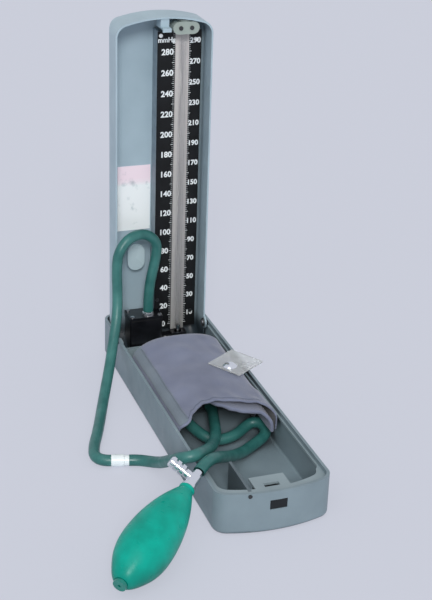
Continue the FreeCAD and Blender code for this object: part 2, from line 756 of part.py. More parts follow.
# ---------------------------------------------------------------- scale and tube
def make_scale():
    depth = back_inside - scale_front
    front = box("scale_face", (scale_left, scale_front, scale_bottom),
                (scale_right, scale_front + P.scale_sheet, scale_top))
    left = box("scale_side_left",
               (scale_left, scale_front, scale_bottom + P.scale_sheet),
               (scale_left + P.scale_sheet, back_inside, scale_top))
    right = box("scale_side_right",
                (scale_right - P.scale_sheet, scale_front, scale_bottom + P.scale_sheet),
                (scale_right, back_inside - P.lid_corner + P.lid_wall, scale_top))
    pot_room = box("scale_pot_room", (scale_left - 1, scale_front - 1, scale_bottom - 1),
                   (pot_right + 0.6, back_inside + 1, cover_top + 2))
    heel_room = box("scale_heel_room", (scale_left - 1, scale_front + P.scale_sheet,
                                        scale_bottom - 1),
                    (scale_right + 1, back_inside + 1, pivot_z + 2))
    screws = []
    holes = []
    spots = ((scale_left + 3, scale_top - 4), (scale_right - 5, scale_top - 9),
             (scale_left + 3, cover_top + 12), (scale_right - 5, pivot_z + 8))
    for i, (x, z) in enumerate(spots):
        head = rod("scale_screw_head_%d" % i, (x, scale_front - 1, z), 1.8, 1.0, "y")
        shank = rod("scale_screw_shank_%d" % i, (x, scale_front, z), 0.9, depth, "y")
        screws.append(fuse("scale_screw_%d" % i, head, shank))
        holes.append(rod("scale_screw_hole_%d" % i, (x, scale_front - 1, z), 0.9, depth, "y"))
    keep(cut("scale_body", fuse("scale_channel", front, left, right), pot_room, heel_room,
             *holes), "scale_plate")
    keep(group("scale_screw_set", *screws), "scale_screws")

    keep(box("backing_body", (tube_x - P.backing_width / 2, scale_front - P.backing_thickness,
                              scale_bottom - 1.5),
             (tube_x + P.backing_width / 2, scale_front, tube_top - 6)), "tube_backing")
    glass = rod("tube_outside", (tube_x, tube_y, tube_foot), P.tube_radius,
                tube_top - tube_foot)
    bore = rod("tube_inside", (tube_x, tube_y, tube_foot - 1), P.tube_bore,
               tube_top - tube_foot + 2)
    keep(cut("tube_body", glass, bore), "glass_tube")

    bracket_half = plain(12.5)
    bracket_bottom = tube_top - 6
    bracket_top = tube_top + 5.5
    bracket_round = (bracket_top - bracket_bottom) / 2
    bracket_middle = bracket_bottom + bracket_round
    ends = bracket_half - bracket_round
    thick = scale_front - pivot_y - 2
    block = fuse(
        "bracket_block",
        box("bracket_bar", (tube_x - ends, pivot_y + 2, bracket_bottom),
            (tube_x + ends, scale_front, bracket_top)),
        rod("bracket_end_left", (tube_x - ends, pivot_y + 2, bracket_middle), bracket_round,
            thick, "y"),
        rod("bracket_end_right", (tube_x + ends, pivot_y + 2, bracket_middle), bracket_round,
            thick, "y"))
    ear = box("bracket_ear", (tube_x - ends, scale_front, scale_top),
              (tube_x + ends, back_inside, scale_top + 3))
    hole = rod("bracket_bore", (tube_x, tube_y, bracket_bottom - 1), P.tube_radius, 16.0)
    screws = []
    sockets = []
    for i, x in enumerate((tube_x - 5.2, tube_x + 5.2)):
        head = rod("bracket_screw_head_%d" % i, (x, pivot_y + 1.2, bracket_middle), 2.0, 2.0,
                   "y")
        shank = rod("bracket_screw_shank_%d" % i, (x, pivot_y + 3, bracket_middle), 0.9,
                    7.0, "y")
        screws.append(fuse("bracket_screw_%d" % i, head, shank))
        sockets.append(rod("bracket_socket_%d" % i, (x, pivot_y + 1.2, bracket_middle), 2.0,
                           2.0, "y"))
        sockets.append(rod("bracket_tap_%d" % i, (x, pivot_y + 3, bracket_middle), 0.9, 7.0,
                           "y"))
    keep(cut("bracket_body", fuse("bracket_blank", block, ear), hole, *sockets), "top_bracket")
    keep(group("bracket_screw_set", *screws), "bracket_screws")
    keep(rod("vent_disc", (tube_x, tube_y, tube_top), P.tube_radius, 1.2), "tube_vent_disc")
    cap = lathe("cap_body", steps((P.tube_radius, -4.0, 0.0), (6.0, 0.0, 1.2)))
    keep(place(cap, (tube_x, tube_y, bracket_top)), "tube_top_cap")


# ---------------------------------------------------------------- reservoir
pot_left = P.lid_wall + P.pot_side_gap - lid_half
pot_right = scale_left + P.pot_overlap
pot_top = pivot_z + P.pot_rise
pot_bottom = pivot_z - P.pot_drop
mercury_level = pivot_z + P.mercury_rise
duct_height = pivot_z - P.duct_drop
nozzle_x = pot_right - P.nozzle_inset
cock_x = pot_right + P.cock_side_gap
pot_front = pivot_y + P.pot_setback
pot_rear = pot_front + P.pot_depth
pot_middle = (pot_left + pot_right) / 2
cover_bottom = pot_top + P.gasket_thickness
cover_top = cover_bottom + P.cover_thickness
block_front = pivot_y + 4
block_rear = scale_front
block_top = duct_height + 7
seat_height = duct_height + 1.5
washer_thickness = 1.5
tube_foot = seat_height + washer_thickness
pot_screw_x = (pot_middle - 8, pot_middle + 8)
pot_screw_z = pivot_z + 4
nozzle_y = pivot_y + 8.5


def pot_block(name, inset, high):
    """The pot's body, drawn in by inset; its lower rear corner clears the lid's heel."""
    front = pot_front + inset
    rear = pot_rear - inset
    low = pot_bottom + inset
    cutback = P.pot_depth / 2
    body = doc.addObject("PartDesign::Body", name)
    side = outline(
        body, "YZ_Plane", name + "_side",
        [(front, low), (rear - cutback, low), (rear, low + cutback), (rear, high), (front, high)],
        offset=pot_left + inset)
    solid = pad(body, side, name + "_pad", pot_right - pot_left - inset * 2)
    if inset.value == 0:
        round_edges(body, solid, name + "_edges", 3.0,
                    lambda edge: abs(direction(edge).z) > 0.99)
    return body


def make_reservoir():
    casting = pot_block("pot_outside", plain(0.0), pot_top)
    arm = box("pot_arm", (pot_right - 2, block_front, duct_height - 5),
              (tube_x, block_rear, duct_height + 5))
    seat = box("pot_seat", (tube_x - 7.5, block_front, duct_height - 6.5),
               (tube_x + 7.5, block_rear, block_top))
    mount = box("pot_mount", (pot_middle - 13, pot_rear - 1, pivot_z + 0.5),
                (pot_middle + 13, back_inside, pot_top - 0.3))
    hollow = pot_block("pot_hollow", P.pot_wall, pot_top + 1)
    duct = rod("pot_duct", (pot_right - P.pot_wall - 1, tube_y, duct_height), P.duct_radius,
               tube_x - pot_right + P.pot_wall + 1, "x")
    riser = rod("pot_riser", (tube_x, tube_y, duct_height), P.duct_radius, 6.0)
    tube_hole = rod("pot_tube_hole", (tube_x, tube_y, seat_height), P.tube_radius, 12.0)
    cock_hole = rod("pot_cock_hole", (cock_x, block_front - 1, duct_height),
                    P.cock_radius + P.running_gap, tube_y + 4.2 - block_front, "y")
    screw_holes = [
        rod("pot_screw_hole_%d" % i, (x, pot_rear - P.pot_wall + 0.4, pot_screw_z), 1.5,
            back_inside - pot_rear + P.pot_wall, "y") for i, x in enumerate(pot_screw_x)]
    cover_holes = [
        rod("pot_cover_hole_%d" % i, (x, y, pot_top - 5), 0.9, 6.0)
        for i, (x, y) in enumerate(cover_screw_points())]
    solid = fuse("pot_solid", casting, arm, seat, mount)
    keep(cut("pot_body", solid, hollow, duct, riser, tube_hole, cock_hole,
             *screw_holes, *cover_holes), "reservoir_pot")

    screws = []
    for i, x in enumerate(pot_screw_x):
        shank = rod("pot_screw_shank_%d" % i, (x, pot_rear - P.pot_wall + 0.4, pot_screw_z), 1.5,
                    back_inside + P.lid_wall - pot_rear + P.pot_wall - 0.4, "y")
        head = rod("pot_screw_head_%d" % i, (x, back_inside + P.lid_wall, pot_screw_z), 2.8, 1.0,
                   "y")
        screws.append(fuse("pot_screw_%d" % i, shank, head))
    keep(group("pot_screw_set", *screws), "reservoir_screws")

    for name, low, high, label in (
            ("gasket", pot_top, cover_bottom, "reservoir_gasket"),
            ("cover", cover_bottom, cover_top, "reservoir_cover")):
        plate = box(name + "_plate", (pot_left, pot_front, low), (pot_right, pot_rear, high))
        tools = [rod("%s_hole_%d" % (name, i), (x, y, low - 1), 0.9, 6.0)
                 for i, (x, y) in enumerate(cover_screw_points())]
        if name == "gasket":
            tools.append(box("gasket_opening", (pot_left + 4, pot_front + 4, low - 1),
                             (pot_right - 4, pot_rear - 4, high + 1)))
        else:
            tools.append(rod("cover_bore", (nozzle_x, nozzle_y, low - 1), 2.0, 6.0))
            tools.append(rod("cover_filter_seat", (nozzle_x, nozzle_y, low - 1), 3.5, 2.2))
        keep(cut(name + "_body", plate, *tools), label)
    keep(rod("filter_body", (nozzle_x, nozzle_y, cover_bottom + 0.2), 3.5, 1.0), "filter_disc")
    screws = []
    for i, (x, y) in enumerate(cover_screw_points()):
        head = rod("cover_screw_head_%d" % i, (x, y, cover_top), 1.9, 1.2)
        shank = rod("cover_screw_shank_%d" % i, (x, y, pot_top - 4), 0.9, cover_top - pot_top + 4)
        screws.append(fuse("cover_screw_%d" % i, head, shank))
    keep(group("cover_screw_set", *screws), "cover_screws")

    nozzle = lathe("nozzle_turning", [
        (2.0, 0.0), (P.nozzle_radius, 0.0), (P.nozzle_radius, P.nozzle_height - 1.4),
        (P.nozzle_radius - 1, P.nozzle_height - 1), (P.nozzle_radius - 1, P.nozzle_height),
        (2.0, P.nozzle_height)])
    keep(place(nozzle, (nozzle_x, nozzle_y, cover_top)), "hose_nozzle")

    washer = rod("washer_outside", (tube_x, tube_y, seat_height), P.tube_radius,
                 washer_thickness)
    washer_bore = rod("washer_inside", (tube_x, tube_y, seat_height - 1), P.duct_radius, 5.0)
    keep(cut("washer_body", washer, washer_bore), "tube_washer")

    cock_room = P.cock_radius + P.running_gap
    fill = pot_block("mercury_fill", P.pot_wall, mercury_level)
    near = rod("mercury_near", (pot_right - P.pot_wall - 1, tube_y, duct_height), P.duct_radius,
               cock_x - cock_room - pot_right + P.pot_wall + 1, "x")
    keep(fuse("mercury_pool", fill, near), "mercury_charge")
    far_start = cock_x + cock_room
    far = rod("mercury_far", (far_start, tube_y, duct_height), P.duct_radius,
              tube_x - far_start, "x")
    rise = rod("mercury_rise", (tube_x, tube_y, duct_height), P.duct_radius,
               tube_foot - duct_height)
    thread = rod("mercury_thread", (tube_x, tube_y, tube_foot), P.tube_bore,
                 zero_height - tube_foot)
    keep(fuse("mercury_line", far, rise, thread), "mercury_column")

    spindle = rod("cock_spindle", (cock_x, block_front - 0.2, duct_height), P.cock_radius,
                  tube_y + 3 - block_front, "y")
    port = rod("cock_port", (cock_x - 5, tube_y, duct_height), P.duct_radius, 10.0, "x")
    hub = rod("cock_hub", (cock_x, block_front - 3.2, duct_height), P.cock_radius + 1.2, 3.0,
              "y")
    lever = box("cock_lever_bar", (cock_x, block_front - 2.8, duct_height - 2),
                (cock_x + 13, block_front - 0.6, duct_height + 2))
    keep(cut("cock_body", fuse("cock_blank", spindle, hub, lever), port), "shutoff_cock")


def cover_screw_points():
    inset = 2.6
    return [(x, y) for x in (pot_left + inset, pot_right - inset)
            for y in (pot_front + inset, pot_rear - inset)]


# ---------------------------------------------------------------- cuff
cuff_left = P.frame_side_band + P.cuff_left_gap - P.base_width / 2
cuff_right = P.base_width / 2 - P.frame_side_band - P.cuff_right_gap
cuff_middle = (cuff_left + cuff_right) / 2
cuff_half_width = (cuff_right - cuff_left) / 2
mouth_left = cuff_left + P.mouth_inset
bladder_left = cuff_left + P.bladder_inset
bladder_right = cuff_right - P.bladder_inset
stud_point = (cuff_right - P.stud_inset, plain(15.0))
tab_place = (stud_point[0] + 8, stud_point[1] + 7)
tab_turn = -57.0
tab_height = P.cuff_crown + P.tab_clearance


def make_cuff():
    half = cuff_half_width
    rise = P.cuff_crown - P.cuff_side_height
    body = doc.addObject("PartDesign::Body", "cuff_outside")
    length = P.cuff_rear - P.cuff_front
    front = outline(
        body, "XZ_Plane", "cuff_front_view",
        [(cuff_left, floor_top + P.cuff_gap), (cuff_right, floor_top + P.cuff_gap),
         (cuff_right, P.cuff_side_height), (cuff_left, P.cuff_side_height)],
        {2: (bow_radius(half * 2, rise), -1)}, offset=-P.cuff_rear)
    solid = pad(body, front, "cuff_pad", length)
    round_edges(body, solid, "cuff_corners", 7.0, lambda edge: abs(direction(edge).z) > 0.99)

    mouth = doc.addObject("PartDesign::Body", "cuff_mouth")
    outer_radius = bow_radius(half * 2, rise)
    inner_radius = outer_radius - P.cuff_layer
    open_end = cuff_right + 2
    bend = mouth_left + P.mouth_inset

    def underside(x):
        x = plain(x) - cuff_middle
        return P.cuff_crown - outer_radius + root(inner_radius * inner_radius - x * x)

    shape = outline(
        mouth, "XZ_Plane", "cuff_mouth_view",
        [(mouth_left, 0.0), (open_end, 0.0), (open_end, underside(open_end)),
         (bend, underside(bend)), (mouth_left, underside(bend) - 12)],
        {2: (inner_radius, -1)}, offset=-P.bladder_front + P.cuff_gap)
    pad(mouth, shape, "cuff_mouth_pad", P.bladder_front - P.cuff_front + 22)

    gap = P.cuff_gap
    pocket = box("cuff_pocket",
                 (bladder_left - gap, P.bladder_front - gap - 1, P.bladder_bottom - gap),
                 (bladder_right + gap, P.bladder_rear + gap, P.bladder_top + gap))
    stud_hole = rod("cuff_stud_hole",
                    (stud_point[0], stud_point[1], underside(stud_point[0] + 3) - 2), 2.1,
                    P.cuff_layer * 5)
    keep(cut("cuff_body", body, mouth, pocket, stud_hole), "cuff_cover")

    slab = box("bladder_slab", (bladder_left, P.bladder_front, P.bladder_bottom),
               (bladder_right, P.bladder_rear, P.bladder_top))
    tails = []
    for name, (x, y, z) in (("left", BULB_ROUTE[-1]), ("right", CUFF_ROUTE[-1])):
        tails.append(rod("bladder_tail_" + name, (x, y, z), P.hose_radius,
                         P.bladder_front + 1 - y, "y"))
    keep(fuse("bladder_body", slab, *tails), "cuff_bladder")

    tab = doc.addObject("Part::Box", "tab_sheet")
    tab.setExpression("Length", text(P.tab_length))
    tab.setExpression("Width", text(P.tab_width))
    tab.setExpression("Height", text(P.tab_sheet))
    turn = Rotation(Vector(0, 0, 1), tab_turn)
    corner = turn.multVec(Vector(number(P.tab_length) / 2, number(P.tab_width) / 2, 0))
    place(tab, (tab_place[0] - corner.x, tab_place[1] - corner.y, tab_height), turn)
    hole = rod("tab_hole", (stud_point[0], stud_point[1], tab_height - 1), 2.1, 5.0)
    keep(cut("tab_body", tab, hole), "cuff_tab")

    dome = P.stud_radius
    foot_bottom = underside(stud_point[0] - dome + 1) + 0.25
    foot = rod("stud_foot_blank", (stud_point[0], stud_point[1], foot_bottom), dome - 1,
               tab_height - foot_bottom)
    foot = cut("stud_foot", foot, find("cuff_cover"))
    head = lathe("stud_turning", [
        (0.0, -0.5), (2.1, -0.5), (2.1, P.tab_sheet), (dome, P.tab_sheet),
        (dome, P.tab_sheet + 0.8), (0.0, P.tab_sheet + 4)],
        {4: (bow_radius(dome * 2, 3.2), -1)})
    place(head, (stud_point[0], stud_point[1], tab_height))
    keep(fuse("stud_body", foot, head), "cuff_stud")


# ---------------------------------------------------------------- hoses
def hose(name, route, radius):
    """A tube of straight runs joined by tangent arcs, as large as the runs allow."""
    points = [Vector(*point) for point in route]
    edges = []
    radii = []
    here = points[0]
    for before, corner, after in zip(points, points[1:], points[2:]):
        inward = (corner - before).normalize()
        outward = (after - corner).normalize()
        half_turn = inward.getAngle(outward) / 2
        setback = 0.45 * min((corner - before).Length, (after - corner).Length)
        radii.append(setback / math.tan(half_turn))
        start = corner - inward * setback
        end = corner + outward * setback
        middle_way = (outward - inward).normalize()
        depth = radii[-1] / math.cos(half_turn) - radii[-1]
        edges.append(Part.LineSegment(here, start).toShape())
        edges.append(Part.Arc(start, corner + middle_way * depth, end).toShape())
        here = end
    edges.append(Part.LineSegment(here, points[-1]).toShape())
    path = Part.Wire(edges)
    ring = Part.Wire(Part.makeCircle(radius, points[0], (points[1] - points[0]).normalize()))
    solid = path.makePipeShell([ring], True, True)
    print("%s length %.1f, section times length %.0f, volume %.0f, radii %s" % (
        name, path.Length, path.Length * math.pi * radius ** 2, solid.Volume,
        " ".join("%.0f" % r for r in radii)))
    feature = doc.addObject("Part::Feature", name)
    feature.Shape = solid
    return keep(feature, name)


def make_hoses():
    radius = number(P.hose_radius)
    hose("manometer_hose", MANOMETER_ROUTE, radius)
    hose("cuff_hose", CUFF_ROUTE, radius)
    hose("bulb_hose", BULB_ROUTE, radius)

    start = Vector(*MANOMETER_ROUTE[-1])
    run = Vector(*CUFF_ROUTE[0]) - start
    heading = math.degrees(math.atan2(run.y, run.x))
    facing = Rotation(Vector(0, 0, 1), heading).multiply(Rotation(Vector(0, 1, 0), 90))
    split = P.coupling_split
    nose = P.coupling_radius * 0.6
    socket = lathe("coupling_socket_turning", [
        (0.0, 0.0), (P.coupling_radius - 0.6, 0.0), (P.coupling_radius, 1.0),
        (P.coupling_radius, split), (nose, split), (nose, split - 5), (0.0, split - 5)])
    plug = lathe("coupling_plug_turning", [
        (0.0, split - 4.9), (nose, split - 4.9), (nose, split), (P.coupling_radius, split),
        (P.coupling_radius, split + 2.4), (P.coupling_radius - 0.7, split + 2.9),
        (P.coupling_radius - 0.7, run.Length), (0.0, run.Length)])
    for body, name in ((socket, "coupling_socket"), (plug, "coupling_plug")):
        body.Placement = Placement(start, facing)
        keep(body, name)


# ---------------------------------------------------------------- bulb and valve
def side_radius(across, run):
    """Radius of an arc that starts along its run and moves across by that much."""
    return (across * across + run * run) / (across * 2)


def bulb_frame():
    azimuth = number(P.bulb_azimuth)
    tilt = number(P.bulb_tilt)
    facing = Rotation(Vector(0, 0, 1), azimuth).multiply(Rotation(Vector(0, 1, 0), 90 - tilt))
    facing = facing.multiply(Rotation(Vector(0, 0, 1), 90 + number(P.knob_lift)))
    axis = facing.multVec(Vector(0, 0, 1))
    neck = Vector(*BULB_ROUTE[0]) - axis * number(P.valve_length)
    return Placement(neck, facing)


knob_height = 11.0
inlet_length = 8.0
knob_start = 9.6


def make_bulb():
    frame = bulb_frame()
    length = P.bulb_length
    tail_radius = P.bulb_radius * 0.66
    tail_height = 10.6
    wall = P.bulb_wall
    neck_length = P.neck_length
    hole = P.spigot_radius
    inner = P.bulb_radius - wall
    widest = P.bulb_widest
    front_run = widest - neck_length
    rear_run = length - tail_height - widest
    rubber = lathe("bulb_turning", [
        (hole, 0.0), (P.neck_radius, 0.0), (P.neck_radius, -neck_length),
        (P.bulb_radius, -widest), (tail_radius, tail_height - length),
        (hole + 2.5, -length), (hole, -length), (hole, wall * 2.4 - length),
        (tail_radius - wall * 0.6, tail_height + wall - length), (inner, -widest),
        (hole, -neck_length - 5)],
        {2: (side_radius(P.bulb_radius - P.neck_radius, front_run), 1),
         3: (side_radius(P.bulb_radius - tail_radius, rear_run), 1),
         4: (P.bulb_radius, 1),
         8: (side_radius(inner - tail_radius + wall * 0.6, rear_run - wall), -1),
         9: (side_radius(inner - hole, front_run - 5), -1)})
    keep(rubber, "bulb")
    inlet = lathe("inlet_turning", [
        (1.2, -length - 3), (hole + 1.6, -length - 3), (hole + 1.6, -length), (hole, -length),
        (hole, inlet_length - length), (2.6, inlet_length - length), (2.6, 1.0 - length),
        (1.2, 1.0 - length)])
    keep(inlet, "bulb_inlet_valve")
    ball = doc.addObject("Part::Sphere", "inlet_ball_solid")
    ball.setExpression("Radius", "2.2")
    keep(ball, "inlet_ball")
    grille = rod("inlet_grille_disc", (0.0, 0.0, inlet_length - 1.0 - length), 2.6, 0.8)
    grille_holes = [
        rod("inlet_grille_hole_%d" % i,
            (1.5 * math.cos(i * math.pi / 2), 1.5 * math.sin(i * math.pi / 2),
             inlet_length - 2.0 - length), 0.55, 3.0) for i in range(4)]
    keep(cut("inlet_grille_body", grille, *grille_holes), "inlet_grille")

    neck = P.spigot_radius
    wide = P.valve_radius
    barrel = lathe("valve_turning", [
        (1.6, -10.0), (neck - 0.4, -10.0), (neck, -9.0), (neck, 0.0), (wide + 1, 0.0),
        (wide + 1, 3.0), (wide, 3.6), (wide, 14.0), (neck, 15.2), (neck, P.valve_length),
        (1.6, P.valve_length)])
    branch = rod("valve_branch", (0.0, 0.0, knob_height), 3.9, 9.0, "x")
    screw_bore = rod("valve_screw_bore", (-0.6, 0.0, knob_height), P.stem_radius + P.running_gap,
                     11.0, "x")
    body = cut("valve_body_solid", fuse("valve_blank", barrel, branch), screw_bore)
    keep(body, "valve_body")

    r = P.knob_radius
    end = P.knob_length
    knob = lathe("knob_turning", [
        (1.05, -6.0), (P.stem_radius, -6.0), (P.stem_radius, 0.0), (r - 0.8, 0.0), (r, 0.8),
        (r, end * 0.28), (r - 1.5, end * 0.32), (r - 1.5, end * 0.36), (r, end * 0.40),
        (r, end * 0.62), (r - 1.5, end * 0.66), (r - 1.5, end * 0.70), (r, end * 0.74),
        (r, end - 1), (r - 1, end), (0.0, end), (0.0, -1.9),
        (1.05, -1.9)])
    needle = lathe("needle_turning", [
        (0.0, -10.0), (0.7, -9.4), (1.9, -8.0), (1.9, -7.0), (1.0, -7.0), (1.0, -3.0),
        (0.0, -3.0)])
    for part in (rubber, inlet, body):
        part.Placement = frame
    ball_height = 1.0 + 1.9 - number(length)
    find("inlet_ball").Placement = frame.multiply(
        Placement(Vector(0, 0, ball_height), Rotation()))
    find("inlet_grille").Placement = frame
    side = frame.multiply(Placement(Vector(knob_start, 0, knob_height), TURN["x"]))
    for part, name in ((knob, "valve_knob"), (needle, "valve_needle")):
        part.Placement = side
        keep(part, name)
    report_axis("valve knob", side)


def report_axis(name, placement):
    axis = placement.Rotation.multVec(Vector(0, 0, 1))
    print("%s axis at (%.3f, %.3f, %.3f) along (%.5f, %.5f, %.5f)" % (
        (name,) + tuple(placement.Base) + tuple(axis)))


# ---------------------------------------------------------------- assembly
make_base()
make_frame()
make_base_fittings()
slider_rear, spring_anchor = make_latch()
spring_start = Vector(0, number(slider_rear), number(button_bottom + P.button_height / 2))
keep(coil("spring_coil", spring_start, number(P.spring_length), number(P.spring_radius),
          number(P.spring_wire), 3), "latch_spring")
make_lid()
make_scale()
make_reservoir()
make_cuff()
make_hoses()
make_bulb()
print("lid pivot at y %.3f, z %.3f" % (number(pivot_y), number(pivot_z)))
print("cock axis at x %.3f, z %.3f" % (number(cock_x), number(duct_height)))
print("latch spring anchored at y %.3f" % number(spring_anchor))

# ---------------------------------------------------------------- check and write
doc.recompute()
failed = [obj.Name for obj in doc.Objects if {"Invalid", "Error"} & set(obj.State)]
if failed:
    raise RuntimeError("failed features: " + ", ".join(failed))
for part in sub_parts:
    if part.Shape.isNull() or not part.Shape.isValid() or not part.Shape.Solids:
        raise RuntimeError("bad shape: " + part.Label)
os.makedirs("parts", exist_ok=True)
for part in sub_parts:
    part.Shape.exportStep("parts/%s.step" % part.Label)
print("%d sub-parts written" % len(sub_parts))
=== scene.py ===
"""Finish of the desk mercury sphygmomanometer.

The solids are loaded first. Their finishes are made here, and so are the hoses,
cuff, bulb, latch spring and scale figures, in metres, in the same frame.
"""
import math

import bmesh
import bpy
from mathutils import Matrix, Vector, noise


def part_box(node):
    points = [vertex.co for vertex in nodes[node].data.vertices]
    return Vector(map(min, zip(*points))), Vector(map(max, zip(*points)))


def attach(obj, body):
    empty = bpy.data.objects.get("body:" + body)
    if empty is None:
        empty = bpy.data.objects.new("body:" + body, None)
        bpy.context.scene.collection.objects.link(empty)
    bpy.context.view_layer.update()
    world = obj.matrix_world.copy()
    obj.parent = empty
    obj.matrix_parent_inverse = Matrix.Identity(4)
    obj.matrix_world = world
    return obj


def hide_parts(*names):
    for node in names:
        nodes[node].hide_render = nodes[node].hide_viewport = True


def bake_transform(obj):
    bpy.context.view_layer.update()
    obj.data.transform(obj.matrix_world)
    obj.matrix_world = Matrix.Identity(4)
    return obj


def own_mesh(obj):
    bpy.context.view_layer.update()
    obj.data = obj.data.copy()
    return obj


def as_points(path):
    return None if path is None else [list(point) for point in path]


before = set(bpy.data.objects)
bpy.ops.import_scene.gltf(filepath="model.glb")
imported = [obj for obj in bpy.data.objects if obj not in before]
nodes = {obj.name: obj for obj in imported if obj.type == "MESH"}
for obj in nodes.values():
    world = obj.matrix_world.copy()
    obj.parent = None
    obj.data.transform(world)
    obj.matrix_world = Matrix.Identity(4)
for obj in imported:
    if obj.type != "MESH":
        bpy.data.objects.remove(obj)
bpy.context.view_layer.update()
MM = 0.001
scene = bpy.context.scene


def mm(x, y, z):
    """A place given in millimetres."""
    return Vector((x, y, z)) * MM


def ease(x):
    """From 0 to 1 with a soft start and end."""
    x = min(1.0, max(0.0, x))
    return x * x * (3 - 2 * x)


# ------------------------------------------------------------------ camera
CAMERA_PLACE = mm(-367.96, -1008.89, 621.04)
CAMERA_TURN = (-20.32, 24.74, 1.96)  # azimuth, downward pitch and roll, in degrees
FOCAL_LENGTH = 1356.43  # in pixels of a render that is 600 pixels high
RENDER_HEIGHT = 600
SENSOR = 36


def set_camera():
    azimuth, pitch, roll = (math.radians(a) for a in CAMERA_TURN)
    ahead = Vector((-math.sin(azimuth) * math.cos(pitch), math.cos(azimuth) * math.cos(pitch),
                    -math.sin(pitch)))
    right = Vector((math.cos(azimuth), math.sin(azimuth), 0))
    up = right.cross(ahead)
    level = right * math.cos(roll) + up * math.sin(roll)
    upright = up * math.cos(roll) - right * math.sin(roll)
    camera = bpy.data.objects.new("camera", bpy.data.cameras.new("camera"))
    camera.data.lens = SENSOR * FOCAL_LENGTH / RENDER_HEIGHT
    camera.data.clip_end = 20
    turn = Matrix((level, upright, -ahead)).transposed().to_4x4()
    camera.matrix_world = Matrix.Translation(CAMERA_PLACE) @ turn
    scene.collection.objects.link(camera)
    scene.camera = camera


# ------------------------------------------------------------------ finishes
def tone(r, g, b):
    """A colour given in 0-255 display values, as the shader wants it."""
    return tuple((c / 255 / 12.92 if c <= 10.3 else ((c / 255 + 0.055) / 1.055) ** 2.4)
                 for c in (r, g, b)) + (1.0,)


# white, which leaves a colour as it is where there is no stain and no painted shade
UNSTAINED_UNSHADED = tone(255, 255, 255)
NOISE_SPAN = (0.3, 0.7)  # where nearly all values of a noise texture lie
# painted shade in corners and under things: how far it reaches and how dark it gets
SHADE_REACH = 0.035  # metres from a corner
SHADE_SPAN = (0.04, 0.38)  # openness from the darkest painted shade to an unshaded place
SHADE_DEEPEST = 0.1
WAVE_RATE = 6.2832  # makes a wave of the texture about two threads wide


